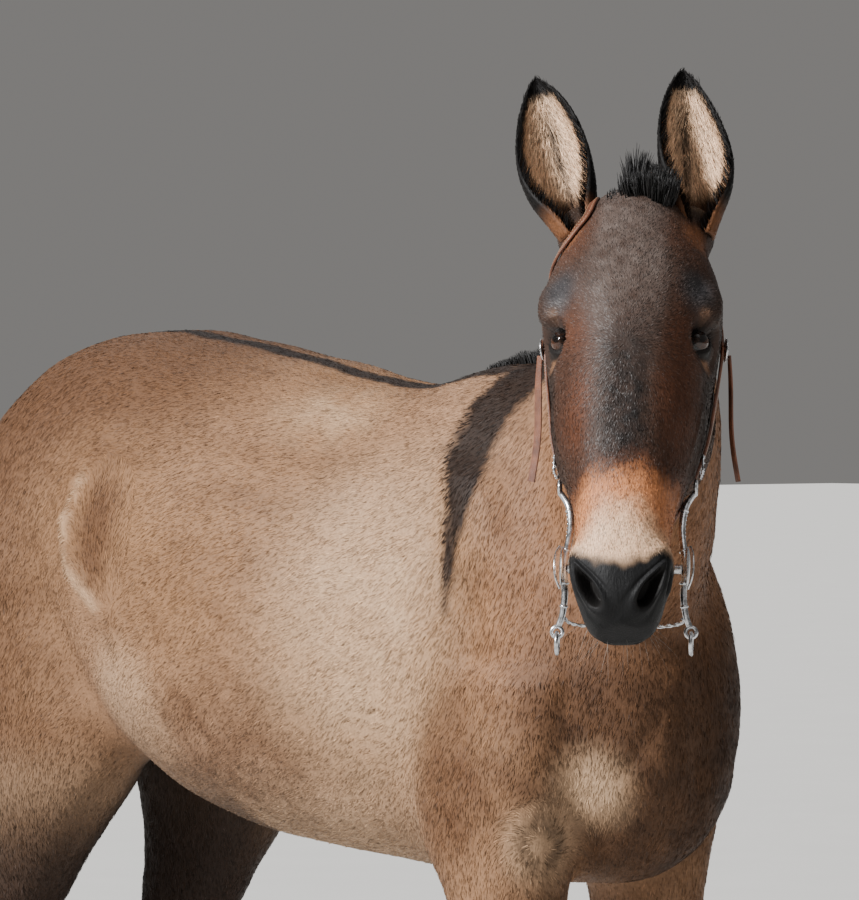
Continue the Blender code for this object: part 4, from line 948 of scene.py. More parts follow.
# One mesh of many like bodies: the points of each, then one body's corners and face starts
def repeatedMesh(name, points, order, starts):
    size, count = points.shape[:2]
    turns = np.arange(size)[:, None]
    mesh = bpy.data.meshes.new(name)
    mesh.vertices.add(size * count)
    mesh.vertices.foreach_set("co", points.astype(np.float32).ravel())
    mesh.loops.add(size * len(order))
    mesh.loops.foreach_set("vertex_index", (turns * count + order).ravel().astype(np.int32))
    mesh.polygons.add(size * len(starts))
    mesh.polygons.foreach_set("loop_start", (turns * len(order) + starts).ravel().astype(np.int32))
    mesh.update(calc_edges=True)
    mesh.shade_smooth()
    return mesh


patchSize = 0.003


# Each body's small patch at its root's place on the unwrap
def addPatches(mesh, roots, patch):
    layer = mesh.uv_layers.new(name="OFBake")
    corners = unwrapPlace(roots)[:, None, :] + (patchSize * patch)[None]
    layer.data.foreach_set("uv", corners.astype(np.float32).ravel())


# Flat tufts of three triangles: broad past the root and drawn out to the tip
def bladeMesh(name, roots, normals, lie, length, width, lift, colours, spread=0.16):
    size = len(roots)
    side = unit(np.cross(lie, normals))
    roll = chance.normal(0, 0.30, size)[:, None]
    side = unit(side * np.cos(roll) + normals * np.sin(roll))
    half = side * (width / 2)[:, None]
    bend = side * (chance.normal(0, 0.10, size) * length)[:, None]
    base = roots - normals * coatBuild["sink"]
    middle = roots + lie * (0.50 * length)[:, None] + normals * lift[:, None] + bend * 0.35
    tip = roots + lie * length[:, None] + normals * (lift * chance.uniform(0.35, 1.25, size))[:, None] + bend
    points = np.stack([base - half * 0.8, base + half * 0.8, middle + half, middle - half, tip], 1)
    order = np.array([0, 1, 2, 3, 3, 2, 4])
    mesh = repeatedMesh(name, points, order, np.array([0, 4]))
    shade = np.repeat(colours, 5, 0).reshape(size, 5, 3)
    shade = shade * np.array([0.88, 0.88, 1.0, 1.0, 1.08])[None, :, None]
    paint(mesh, shade.reshape(-1, 3))
    soft = unit(normals + side * chance.normal(0, spread, size)[:, None] + lie * 0.10)
    mesh.normals_split_custom_set_from_vertices(np.repeat(soft, 5, 0).astype(np.float32))
    addPatches(mesh, roots, np.array([[0, 0], [1, 0], [1, 0.5], [0, 0.5], [0.5, 1]])[order])
    return mesh


# the places' rows are length, width and lift
coatBuild = {
    "tufts": 370000, "perPiece": 62000, "spread": 0.13, "faceSpread": 0.17, "sink": 0.0012,
    "body": (0.0132, 0.00108, 0.0007), "leg": (0.0090, 0.00115, 0.0008),
    "face": (0.0060, 0.00080, 0.0005), "muzzle": (0.0024, 0.00055, 0.0002),
    "greyHairAndGlint": (0.170, 0.145, 0.135),
}


def tuftThickness(points):
    head = headCoords(points)
    body = bodyCoords(points)
    share = headShare(points)
    eye = np.linalg.norm(foldedHead(head) - np.array(eyePlace), axis=1)
    density = np.where(body[:, 2] < 0.75, 1.3, 1.0)
    density = density * (1 - share) + 3.2 * share
    density = np.where((share > 0.5) & (head[:, 0] > 0.495), 1.6, density)
    for side in (-1, 1):
        density = np.where(nostrilShare(points, side)[0] < 1.05, 0.0, density)
    return np.where(eye < 0.0262, 0.0, density)


def growCoat(skin):
    roots, normals = scatter(skin, coatBuild["tufts"], tuftThickness)
    lie = lieOf(roots, normals)
    side = unit(np.cross(lie, normals))
    lie = unit(lie + side * (0.11 * chance.normal(size=len(roots)) + 0.12 * waves(roots, 0.06, 11))[:, None])
    body = bodyCoords(roots)
    head = headCoords(roots)
    face = headShare(roots)
    leg = (1 - eased(body[:, 2], 0.62, 0.90)) * (1 - face)
    muzzle = face * eased(head[:, 0], 0.475, 0.500)
    sizes = [np.array(coatBuild[name]) for name in ("body", "leg", "face", "muzzle")]
    shape = sizes[0] + (sizes[1] - sizes[0]) * leg[:, None]
    shape = shape + (sizes[2] - shape) * face[:, None]
    shape = shape + (sizes[3] - shape) * muzzle[:, None]
    belly = (1 - eased(body[:, 2], 0.86, 0.96)) * eased(body[:, 1], 0.10, 0.20) \
        * (1 - eased(body[:, 1], 0.60, 0.72))
    fetlock = (1 - eased(np.abs(body[:, 2] - 0.15), 0.02, 0.06)) * (1 - face)
    length = shape[:, 0] * chance.uniform(0.70, 1.25, len(roots)) * (1 + 0.35 * belly + 0.6 * fetlock)
    width = shape[:, 1] * chance.uniform(0.75, 1.25, len(roots))
    lift = shape[:, 2] * chance.uniform(0.55, 1.35, len(roots)) * (1 + 0.5 * belly)
    grain = waves(roots, 0.012, 12)
    tone = 1 + (0.25 + 0.03 * face) * chance.normal(size=len(roots)) + 0.13 * grain
    colours = coatColour(roots) * np.clip(tone, 0.45, 1.7)[:, None]
    # grey hairs flecked through the coat; the extra ones on the face are painted glints
    grey = (chance.random(len(roots)) < 0.05 + 0.10 * face) * (0.14 + 0.12 * face) * (1 - muzzle)
    colours = colours + (np.array(coatBuild["greyHairAndGlint"]) - colours) * grey[:, None]
    step = coatBuild["perPiece"]
    groups = (("coat", coatLook, face <= 0.5, coatBuild["spread"]),
              ("coat_face", faceLook, face > 0.5, coatBuild["faceSpread"]))
    for group, look, wanted, spread in groups:
        members = np.flatnonzero(wanted)
        members = members[np.argsort(unwrapPlace(roots[members])[:, 1], kind="stable")]
        for index, start in enumerate(range(0, len(members), step)):
            chosen = members[start:start + step]
            name = "%s_%d" % (group, index + 1)
            mesh = bladeMesh(name, roots[chosen], normals[chosen], lie[chosen], length[chosen],
                             width[chosen], lift[chosen], colours[chosen], spread)
            shown(newObject(name, mesh, look), "coat")
            print(name, len(chosen), "tufts")


addCamera()
addLights()
skinMesh = buildSkin()
skin = shown(newObject("skin", skinMesh, skinLook), "coat", *fleshNodes)
growCoat(skinMesh)


# Shapes drawn out ring by ring

# A closed body: a loop of a few vertices, drawn out from ring to ring
def ringBody(rings):
    bm = bmesh.new()
    count = len(rings[0])
    current = [bm.verts.new(point) for point in rings[0]]
    edges = [bm.edges.new((current[index], current[(index + 1) % count])) for index in range(count)]
    for ring in rings[1:]:
        grown = bmesh.ops.extrude_edge_only(bm, edges=edges)["geom"]
        fresh = {item for item in grown if isinstance(item, bmesh.types.BMVert)}
        current = [next(edge.other_vert(vertex) for edge in vertex.link_edges
                        if edge.other_vert(vertex) in fresh) for vertex in current]
        for vertex, point in zip(current, ring):
            vertex.co = point
        edges = [bm.edges.get((current[index], current[(index + 1) % count])) for index in range(count)]
    bmesh.ops.holes_fill(bm, edges=bm.edges)
    bmesh.ops.recalc_face_normals(bm, faces=bm.faces)
    return bm


# Rows of numbers with smooth rows worked out between them
def between(rows, steps):
    rows = np.array(rows, float)
    padded = np.vstack([rows[:1], rows, rows[-1:]])
    result = []
    for index in range(len(rows) - 1):
        before, start, end, after = padded[index:index + 4]
        for step in range(steps):
            share = step / steps
            result.append(0.5 * (2 * start + (end - before) * share
                                 + (2 * before - 5 * start + 4 * end - after) * share ** 2
                                 + (3 * start - before - 3 * end + after) * share ** 3))
    result.append(rows[-1])
    return np.array(result)


# A rounded section: across and up for each of its points
def section(halfWidth, halfHeight, power, count):
    turn = 2 * math.pi * np.arange(count) / count
    across, up = np.cos(turn), np.sin(turn)
    return np.column_stack([halfWidth * np.sign(across) * np.abs(across) ** (2 / power),
                            halfHeight * np.sign(up) * np.abs(up) ** (2 / power)])


def sweptBody(path, sides, halves, power=2.0, count=12):
    path, sides = np.array(path, float), np.array(sides, float)
    rings = []
    for index, point in enumerate(path):
        ahead = unit(path[min(index + 1, len(path) - 1)] - path[max(index - 1, 0)])
        side = unit(sides[index] - ahead * (sides[index] @ ahead))
        up = np.cross(ahead, side)
        shape = section(*halves[index], power, count)
        rings.append([Vector(point + side * across + up * high) for across, high in shape])
    return ringBody(rings)


# The same, with one side and one section all along
def evenBody(path, side, half, power, count):
    return sweptBody(path, [side] * len(path), [half] * len(path), power, count)


# A round loop of wire, spun from a small circle
def wireLoop(centre, normal, radius, wire):
    bm = bmesh.new()
    upright = Matrix.Translation((radius, 0, 0)) @ Matrix.Rotation(math.pi / 2, 4, "X")
    made = bmesh.ops.create_circle(bm, cap_ends=False, segments=8, radius=wire, matrix=upright)
    edges = list({edge for vertex in made["verts"] for edge in vertex.link_edges})
    bmesh.ops.spin(bm, geom=made["verts"] + edges, cent=(0, 0, 0), axis=(0, 0, 1), angle=2 * math.pi,
                   steps=28, use_merge=True, use_duplicate=False)
    normal = Vector(normal).normalized()
    first = normal.orthogonal().normalized()
    turn = Matrix((first, normal.cross(first), normal)).transposed()
    for vertex in bm.verts:
        vertex.co = turn @ vertex.co + Vector(centre)
    bmesh.ops.remove_doubles(bm, verts=bm.verts, dist=0.00001)
    bmesh.ops.recalc_face_normals(bm, faces=bm.faces)
    return bm


def beadAt(centre, radii, axes=None, fine=(10, 7)):
    bm = bmesh.new()
    turn = axes.to_4x4() if axes else Matrix.Identity(4)
    bmesh.ops.create_uvsphere(bm, u_segments=fine[0], v_segments=fine[1], radius=1,
                              matrix=Matrix.Translation(centre) @ turn @ Matrix.Diagonal((*radii, 1)))
    return bm


def roundBead(centre, radius):
    return beadAt(centre, (radius,) * 3, None, (8, 6))


def finishedPiece(name, parts, material, slotName, *nodes):
    mesh = joined(parts if isinstance(parts, list) else [parts])
    mesh.name = name
    mesh.shade_smooth()
    mesh.set_sharp_from_angle(angle=math.radians(50))
    return shown(newObject(name, mesh, material), slotName, *nodes)


# Strands: thin three-sided hairs along curves

# One mesh of many hairs. paths holds each hair's points, halves its half width at each
def strandMesh(name, paths, halves, colours):
    size, steps = paths.shape[:2]
    ahead = unit(np.gradient(paths, axis=1))
    guide = unit(chance.normal(size=(size, 1, 3)) + np.zeros((size, steps, 3)))
    side = unit(np.cross(ahead, guide))
    up = np.cross(ahead, side)
    rings = []
    for corner in range(3):
        turn = 2 * math.pi * corner / 3
        rings.append(paths + (side * math.cos(turn) + up * math.sin(turn)) * halves[:, :, None])
    points = np.stack(rings, 2).reshape(size, steps * 3, 3)
    quads = []
    for step in range(steps - 1):
        for corner in range(3):
            after = (corner + 1) % 3
            quads.append([step * 3 + corner, step * 3 + after, step * 3 + 3 + after, step * 3 + 3 + corner])
    ends = [[2, 1, 0], [steps * 3 - 3, steps * 3 - 2, steps * 3 - 1]]
    order = np.array([index for face in quads + ends for index in face])
    starts = np.concatenate([[0], np.cumsum([len(face) for face in quads + ends])[:-1]])
    mesh = repeatedMesh(name, points, order, starts)
    paint(mesh, np.repeat(colours, steps * 3, 0))
    addPatches(mesh, paths[:, 0], np.column_stack([(order % 3) / 2, (order // 3) / steps]))
    return mesh


# Half widths along hairs: broad, then drawn out to the tips
def tapered(size, steps, half, keep=0.55):
    along = np.linspace(0, 1, steps)
    shape = np.where(along < keep, 1, 1 - 0.86 * ((along - keep) / (1 - keep)) ** 1.3)
    return half * chance.uniform(0.7, 1.25, (size, 1)) * shape


def hairTones(size, colour, spread=0.35):
    return np.array(colour) * (1 + spread * chance.normal(size=(size, 1))).clip(0.3, 2.2)


# Eyes

eyeBuild = {"bulge": 0.0013, "ball": (0.0090, 0.0070, 0.0062), "iris": (0.034, 0.0130, 0.0062)}
lashBuild = {"hairs": 130, "half": 0.00022, "upper": 0.0125, "lower": 0.0060, "colour": (0.010, 0.009, 0.009)}


def buildEye(side, name):
    centre = np.array(placed(eyePlace, side))
    axes = np.array(eyeAxes(side))
    bm = bmesh.new()
    bmesh.ops.create_uvsphere(bm, u_segments=64, v_segments=48, radius=1)
    mesh = meshFrom(bm, "eyeball_" + name)
    ball = readVertices(mesh)
    x, y, z = ball[:, 0], ball[:, 1], ball[:, 2]
    spread = np.hypot(x, y)
    bulge = eyeBuild["bulge"] * (1 - eased(spread, 0.30, 0.66)) * (z > 0)
    radius = eyeRadius + bulge
    shaped = centre + (z * radius)[:, None] * axes[0] + (x * radius)[:, None] * axes[1] \
        + (y * radius)[:, None] * axes[2]
    if np.linalg.det(np.array([axes[1], axes[2], axes[0]])) < 0:
        mesh.flip_normals()
    writeVertices(mesh, shaped)
    colours = np.tile(np.array(eyeBuild["ball"]), (len(ball), 1))
    iris = (1 - eased(spread, 0.68, 0.74)) * (z > 0)
    brown = np.array(eyeBuild["iris"]) * (0.45 + 0.75 * eased(-y, -0.25, 0.35))[:, None]
    colours = colours + (brown - colours) * iris[:, None]
    ring = np.exp(-((spread - 0.69) / 0.05) ** 2) * (z > 0)
    colours = colours * (1 - 0.85 * ring)[:, None]
    pupil = 1 - eased(np.hypot(x / 0.40, y / 0.19), 0.9, 1.1)
    colours = colours * (1 - 0.94 * pupil * (z > 0))[:, None]
    paint(mesh, colours)
    mesh.shade_smooth()
    shown(newObject("eyeball_" + name, mesh, eyeLook), "eye", "eye_" + name)
    growLashes(centre, axes, name)


# Lashes along the upper lid, and a few along the lower one
def growLashes(centre, axes, name):
    outward, along, up = axes
    size = lashBuild["hairs"]
    place = chance.uniform(-0.86, 0.86, size)
    upper = chance.random(size) < 0.74
    height = np.where(upper, lidShape["upper"], -lidShape["lower"]) * (1 - np.abs(place) ** 2.1) * 1.02
    x = place * lidShape["length"]
    reach = eyeRadius + 0.0016
    z = np.sqrt(np.maximum(reach ** 2 - x ** 2 - height ** 2, 1e-8))
    roots = centre + x[:, None] * along + height[:, None] * up + z[:, None] * outward
    length = np.where(upper, lashBuild["upper"], lashBuild["lower"]) * chance.uniform(0.7, 1.2, size)
    way = outward + np.where(upper, -0.25, -0.35)[:, None] * up + (place * 0.45)[:, None] * along
    way = unit(way + 0.12 * chance.normal(size=(size, 3)))
    steps = np.linspace(0, 1, 4)[None, :, None]
    paths = roots[:, None] + way[:, None] * length[:, None, None] * steps \
        + np.where(upper, -1, 1)[:, None, None] * up * length[:, None, None] * 0.35 * steps ** 2
    mesh = strandMesh("lashes_" + name, paths, tapered(size, 4, lashBuild["half"], 0.2),
                      hairTones(size, lashBuild["colour"]))
    shown(newObject("lashes_" + name, mesh, longHairLook), "hair")


# Ears

earBuild = {
    "length": 0.216, "sink": 0.014, "curve": 0.012, "base": (0.012, -0.072, 0.068), "around": 22,
    "tips": {-1: (0.0185, 0.102, 0.190), 1: (0.0501, 0.069, 0.195)},
    "opens": {-1: (-0.70, -0.66, 0.28), 1: (-0.50, -0.80, 0.28)},
    "tufts": 22500, "inner": (0.0170, 0.00090, 0.0030), "outer": (0.0055, 0.00085, 0.0006),
}
earSections = [   # along the ear: half width, half angle of the cup, wall
    (0.00, 0.0245, 152, 0.0042), (0.12, 0.0312, 140, 0.0038), (0.28, 0.0420, 120, 0.0036),
    (0.46, 0.0455, 104, 0.0034), (0.64, 0.0410, 92, 0.0031), (0.80, 0.0312, 84, 0.0028),
    (0.92, 0.0184, 78, 0.0023), (0.98, 0.0086, 74, 0.0018), (1.00, 0.0034, 70, 0.0012),
]


def earFrame(side):
    base = np.array(placed(earBuild["base"], side))
    axis = unit(np.array(earBuild["tips"][side]))
    opens = np.array(earBuild["opens"][side])
    opens = unit(opens - axis * (opens @ axis))
    return base, axis, opens, np.cross(axis, opens)


def buildEar(side, name):
    base, axis, opens, across = earFrame(side)
    rings, rims = [], ([], [])
    for share, halfWidth, halfAngle, wall in between(earSections, 5):
        angle = math.radians(halfAngle)
        radius = halfWidth / math.sin(min(angle, math.pi / 2))
        bend = earBuild["curve"] * math.sin(math.pi * min(share, 1)) * (1 - share)
        height = earBuild["length"] * share - earBuild["sink"] * (1 - share)
        middle = base + axis * height + across * side * bend
        depth = 0.62 + 0.38 * (1 - share)
        ring = []
        for layer, reach in ((1, radius), (-1, radius - wall)):
            for index in range(earBuild["around"] + 1):
                turn = layer * angle * (2 * index / earBuild["around"] - 1)
                point = middle + across * reach * math.sin(turn) \
                    - opens * (reach * math.cos(turn) - radius * 0.4) * depth
                ring.append(Vector(point))
        rings.append(ring)
        for rim, index in zip(rims, (0, earBuild["around"])):
            rim.append(np.array(ring[index]))
    bm = ringBody(rings)
    bmesh.ops.triangulate(bm, faces=[face for face in bm.faces if len(face.verts) > 4])
    mesh = meshFrom(bm, "earSkin_" + name)
    mesh.shade_smooth()
    points, normals = readVertices(mesh), readVertices(mesh, "normal")
    paint(mesh, earColour(side, points, normals, rims) * 0.8)
    shown(newObject("earSkin_" + name, mesh, skinLook), "dark_coat", "ear_" + name)
    growEarHair(side, name, mesh, rims)


# How far up the ear, whether inside the cup, and how far across it
def earPlace(side, points, normals):
    base, axis, opens, across = earFrame(side)
    offset = points - base
    share = offset @ axis / earBuild["length"]
    half = np.interp(share, [row[0] for row in earSections], [row[1] for row in earSections])
    centre = base + np.outer(offset @ axis, axis) + opens * (half * 0.30)[:, None]
    inside = ((points - centre) * normals).sum(1) < 0
    return share, inside, offset @ across / half


def rimDistance(points, rims):
    return np.minimum(lineDistance(points, rims[0])[0], lineDistance(points, rims[1])[0])


def earColour(side, points, normals, rims):
    share, inside, cross = earPlace(side, points, normals)
    rim = rimDistance(points, rims)
    fleck = waves(points, 0.010, 21)
    colours = np.tile(hues["black"], (len(points), 1))
    root = (1 - eased(share, 0.00, 0.17)) * ~inside
    colours = blend(colours, "brown", root * 0.9)
    colours = blend(colours, "orange", root * 0.22)
    edge = rim + 0.0012 * fleck
    cream = inside * eased(edge, 0.0050, 0.0110) * (1 - eased(share, 0.79, 0.88)) * eased(share, 0.10, 0.24)
    colours = blend(colours, "cream", cream)
    colours = colours * (1 - 0.10 * cream)[:, None]
    buff = inside * (1 - eased(edge, 0.010, 0.022)) * eased(edge, 0.005, 0.010) \
        * (1 - eased(share, 0.75, 0.86))
    colours = blend(colours, "tan", buff * 0.40)
    speckle = inside * (1 - eased(np.abs(cross + 0.12 * fleck), 0.12, 0.50)) * eased(share, 0.16, 0.34)
    speckle = speckle * (1 - eased(share, 0.70, 0.82)) * eased(fleck, -0.9, 0.5)
    colours = blend(colours, "dark", speckle * (0.40 + 0.50 * eased(waves(points, 0.004, 22), 0.0, 0.8)))
    core = inside * (1 - eased(np.abs(cross + 0.05 * fleck), 0.02, 0.13)) * (1 - eased(share, 0.62, 0.76))
    colours = blend(colours, "black", core * 0.80)
    # painted shade: the bottom of the ear cup darker brown
    lower = inside * (1 - eased(share, 0.10, 0.30)) * eased(edge, 0.004, 0.012)
    return blend(colours, "brown", lower * 0.65)


def growEarHair(side, name, mesh, rims):
    axis, opens, across = earFrame(side)[1:]
    roots, normals = scatter(mesh, earBuild["tufts"], lambda points: 1.0)
    share, inside, cross = earPlace(side, roots, normals)
    rim = rimDistance(roots, rims)
    size = len(roots)
    inward = opens * 0.40 - across * (cross.clip(-1, 1) * 0.75)[:, None]
    way = np.tile(axis, (size, 1)) + inside[:, None] * inward
    way += (1 - eased(rim, 0.0, 0.006))[:, None] * opens * 0.35
    way = way + 0.14 * chance.normal(size=(size, 3))
    way = unit(way - normals * (way * normals).sum(1, keepdims=True) * np.where(inside, 0.35, 0.8)[:, None])
    inner, outer = earBuild["inner"], earBuild["outer"]
    length = np.where(inside, inner[0], outer[0]) * chance.uniform(0.6, 1.25, size)
    length = length * (1 - 0.5 * eased(share, 0.75, 1.0))
    length = np.minimum(length, np.maximum(1.03 - share, 0.012) * earBuild["length"])
    width = np.where(inside, inner[1], outer[1]) * chance.uniform(0.7, 1.3, size)
    lift = np.where(inside, inner[2], outer[2]) * chance.uniform(0.4, 1.4, size)
    tone = np.clip(1 + (0.14 + 0.22 * inside) * chance.normal(size=size), 0.3, 1.9)[:, None]
    colours = earColour(side, roots, normals, rims) * tone
    coat = bladeMesh("coat_ear_" + name, roots, normals, way, length, width, lift, colours)
    shown(newObject("coat_ear_" + name, coat, coatLook), "dark_coat")


# Forelock, mane and tail

blackHair = (0.0048, 0.0040, 0.0038)
forelockBuild = {
    "hairs": 3600, "steps": 6, "half": 0.00100,
    "across": (-0.046, -0.036, -0.024, -0.010, 0.004, 0.016, 0.030),
    "height": (0.012, 0.020, 0.034, 0.050, 0.062, 0.064, 0.046),
}


def growForelock():
    root = np.array(onHead(0.006, -0.052, 0.006))
    left, ahead = np.array(headLeft), np.array(facing)
    size, steps = forelockBuild["hairs"], forelockBuild["steps"]
    across = chance.uniform(-0.044, 0.027, size)
    deep = chance.uniform(-0.020, 0.016, size)
    place = np.column_stack([across, deep, np.zeros(size)])
    lump = waves(place, 0.016, 41, 6)
    tall = np.interp(across, forelockBuild["across"], forelockBuild["height"])
    tall = tall * (1 + 0.10 * lump) * (1 - 0.26 * chance.random(size) ** 1.3)
    begin = root + left * across[:, None] + ahead * deep[:, None] - np.array([0, 0, 0.012])
    lean = 0.08 + across * 3 + 0.22 * waves(place, 0.022, 42, 6) + 0.06 * chance.normal(size=size)
    forward = 0.10 + deep * 10 + 0.30 * waves(place, 0.022, 43, 6) + 0.06 * chance.normal(size=size)
    way = unit(np.array([0, 0, 1.0]) + left * lean[:, None] + ahead * forward[:, None])
    share = np.linspace(0, 1, steps)[None, :, None]
    paths = begin[:, None] + way[:, None] * (tall + 0.012)[:, None, None] * share
    curl = chance.normal(size=(size, 3))[:, None] * 0.0042 + 0.0050 * np.stack(
        [waves(place, 0.010, seed, 5) for seed in (44, 45, 46)], 1)[:, None]
    paths = paths + curl * np.sin(share * 2.6) * share
    mesh = strandMesh("forelockHair", paths, tapered(size, steps, forelockBuild["half"], 0.93),
                      hairTones(size, blackHair, 0.30))
    shown(newObject("forelockHair", mesh, longHairLook), "hair", "forelock")


maneBuild = {"hairs": 5200, "height": 0.050, "steps": 5, "half": 0.00085, "spread": 0.0135}
crestGuide = [   # along the neck, with the way up at each place
    (-0.318, -0.480, 1.640, 0.10, 0.06, 1.0), (-0.290, -0.460, 1.600, 0.30, 0.20, 0.9),
    (-0.215, -0.395, 1.530, 0.45, 0.36, 0.80), (-0.120, -0.310, 1.445, 0.36, 0.42, 0.83),
    (-0.025, -0.150, 1.340, 0.16, 0.44, 0.88), (0.000, -0.020, 1.265, 0.02, 0.30, 0.95),
    (0.000, 0.080, 1.280, 0.0, 0.10, 1.0), (0.000, 0.135, 1.300, 0.0, 0.05, 1.0),
]


def skinTree():
    return BVHTree.FromObject(skin, bpy.context.evaluated_depsgraph_get())


def growMane(tree):
    spots, ways = [], []
    for row in between(crestGuide, 6):
        way = Vector(row[3:]).normalized()
        start = Vector(row[:3]) + centring
        contact = tree.ray_cast(start + way * 0.6, -way)[0]
        spots.append(np.array(contact))
        ways.append(np.array(way))
    spots, ways = smoothed(np.array(spots), 5), np.array(ways)
    lengths = runLengths(spots)
    size, steps = maneBuild["hairs"], maneBuild["steps"]
    share = chance.random(size) ** 0.85
    along = share * lengths[-1]
    contact = rowsAt(along, lengths, spots)
    way = unit(rowsAt(along, lengths, ways))
    ahead = unit(rowsAt(along + 0.02, lengths, spots) - rowsAt(along - 0.02, lengths, spots))
    side = unit(np.cross(way, ahead))
    across = chance.normal(0, 0.5, size).clip(-1, 1)
    clump = waves(contact, 0.028, 31, 5)
    tall = 0.006 + maneBuild["height"] * (1 - share ** 2.2).clip(0, 1) ** 0.9
    tall *= chance.uniform(0.62, 1.02, size)
    tall *= 1 - 0.30 * np.abs(across) + 0.10 * clump
    begin = contact + side * (across * maneBuild["spread"])[:, None] - way * 0.006
    out = across * 0.22 + 0.10 * clump + 0.05 * chance.normal(size=size)
    back = 0.22 + 0.16 * waves(contact, 0.05, 32, 5) + 0.08 * chance.normal(size=size)
    up = np.linspace(0, 1, steps)[None, :, None]
    paths = begin[:, None] + way[:, None] * (tall + 0.006)[:, None, None] * up \
        + (side * out[:, None] + ahead * back[:, None])[:, None] * tall[:, None, None] * up ** 1.8
    mesh = strandMesh("maneHair", paths, tapered(size, steps, maneBuild["half"]),
                      hairTones(size, blackHair, 0.30))
    shown(newObject("maneHair", mesh, longHairLook), "hair", "mane_upper", "mane_lower")


tailRows = [   # the tail's middle behind and up, with its half width and half depth
    (1.060, 1.440, 0.034, 0.026), (1.130, 1.432, 0.036, 0.028), (1.196, 1.386, 0.034, 0.027),
    (1.242, 1.305, 0.033, 0.027), (1.268, 1.200, 0.038, 0.032), (1.276, 1.060, 0.056, 0.042),
    (1.275, 0.900, 0.072, 0.050), (1.272, 0.740, 0.080, 0.052), (1.270, 0.580, 0.066, 0.044),
    (1.268, 0.460, 0.038, 0.028), (1.267, 0.390, 0.012, 0.010),
]
tailBuild = {"hairs": 1900, "steps": 15, "half": 0.00115, "core": 0.90, "rootBrown": (0.030, 0.017, 0.011)}


def growTail():
    rows = between([(0, *row) for row in tailRows], 4)
    rows[:, :3] += np.array(centring)
    rings = []
    for index, row in enumerate(rows[:-6]):
        ahead = unit(rows[index + 1, :3] - rows[max(index - 1, 0), :3])
        up = np.cross(ahead, np.array([1.0, 0, 0]))
        keep = tailBuild["core"] - 0.35 * min(max(index - 14, 0) / 8, 1)
        shape = section(row[3] * keep, row[4] * keep, 2.0, 20)
        rings.append([Vector(row[:3] + np.array([1.0, 0, 0]) * across + up * high) for across, high in shape])
    mesh = meshFrom(ringBody(rings), "tailCore")
    mesh.shade_smooth()
    paint(mesh, np.tile(np.array(blackHair), (len(mesh.vertices), 1)))
    shown(newObject("tailCore", mesh, longHairLook), "hair", "tail")
    size, steps = tailBuild["hairs"], tailBuild["steps"]
    start = chance.random(size) * 0.46
    end = np.clip(start + chance.uniform(0.30, 0.62, size), 0, 1)
    end = np.where(start > 0.22, chance.uniform(0.80, 1.0, size), end)
    turn = chance.uniform(0, 2 * math.pi, size)
    drift = chance.normal(0, 0.35, size)
    deep = chance.uniform(0.72, 1.0, size)
    along = start[:, None] + (end - start)[:, None] * np.linspace(0, 1, steps)[None, :]
    place = along * (len(rows) - 1)
    known = np.arange(len(rows))
    row = rowsAt(place, known, rows)
    ahead = unit(rowsAt(place + 0.5, known, rows[:, :3]) - rowsAt(place - 0.5, known, rows[:, :3]))
    across = np.zeros_like(ahead) + np.array([1.0, 0, 0])
    up = np.cross(ahead, across)
    spin = turn[:, None] + drift[:, None] * (along - start[:, None])
    lump = 1 + 0.07 * np.sin(5 * spin + 9 * along)
    reach = np.minimum(deep[:, None], 1.0) * lump.clip(0.9, 1.04)
    reach = np.where(np.arange(steps)[None, :] == 0, 0.75, reach)
    paths = row[..., :3] + across * (row[..., 3] * np.cos(spin) * reach)[..., None] \
        + up * (row[..., 4] * np.sin(spin) * reach)[..., None]
    colours = hairTones(size, blackHair, 0.30)
    brown = (start < 0.20)[:, None] * (chance.random((size, 1)) < 0.4)
    colours = np.where(brown, np.array(tailBuild["rootBrown"]), colours)
    mesh = strandMesh("tailHair", paths, tapered(size, steps, tailBuild["half"], 0.7), colours)
    shown(newObject("tailHair", mesh, longHairLook), "hair", "tail_switch")


whiskerBuild = {"muzzle": 30, "eyes": 8, "half": 0.00016, "colour": (0.20, 0.18, 0.16)}


# Pale feelers on the lips and chin, and a few under the eyes
def growWhiskers(tree):
    roots, ways, lengths = [], [], []
    for index in range(whiskerBuild["muzzle"] + whiskerBuild["eyes"]):
        if index < whiskerBuild["muzzle"]:
            place = (chance.uniform(0.530, 0.556), chance.uniform(-0.125, -0.085),
                     chance.uniform(-0.046, 0.046))
            length = chance.uniform(0.018, 0.044)
        else:
            side = -1 if index % 2 else 1
            place = (chance.uniform(0.205, 0.225), chance.uniform(-0.070, -0.050), side * 0.100)
            length = chance.uniform(0.014, 0.026)
        contact, normal = tree.find_nearest(onHead(*place))[:2]
        roots.append(np.array(contact))
        ways.append(unit(np.array(normal) + 0.3 * np.array(downFace) + chance.normal(0, 0.28, 3)))
        lengths.append(length)
    roots, ways, lengths = np.array(roots), np.array(ways), np.array(lengths)[:, None, None]
    along = np.linspace(0, 1, 6)[None, :, None]
    paths = roots[:, None] + ways[:, None] * lengths * along \
        - np.array([0, 0, 1.0]) * lengths * 0.30 * along ** 2
    mesh = strandMesh("whiskers", paths, tapered(len(roots), 6, whiskerBuild["half"], 0.1),
                      hairTones(len(roots), whiskerBuild["colour"]))
    shown(newObject("whiskers", mesh, longHairLook), "hair")


# Hooves

stance = {"fore_right": -0.070, "fore_left": 0.060, "hind_right": 0.090, "hind_left": -0.080}
hoofBuild = {
    "fore": (-0.1265, -0.0275, 0.0475, 0.130), "hind": (1.0005, 1.0970, 0.0475, 0.134),
    "coronet": (0.082, 0.046), "toe": 0.044, "spread": 0.0060, "levels": 22,
}


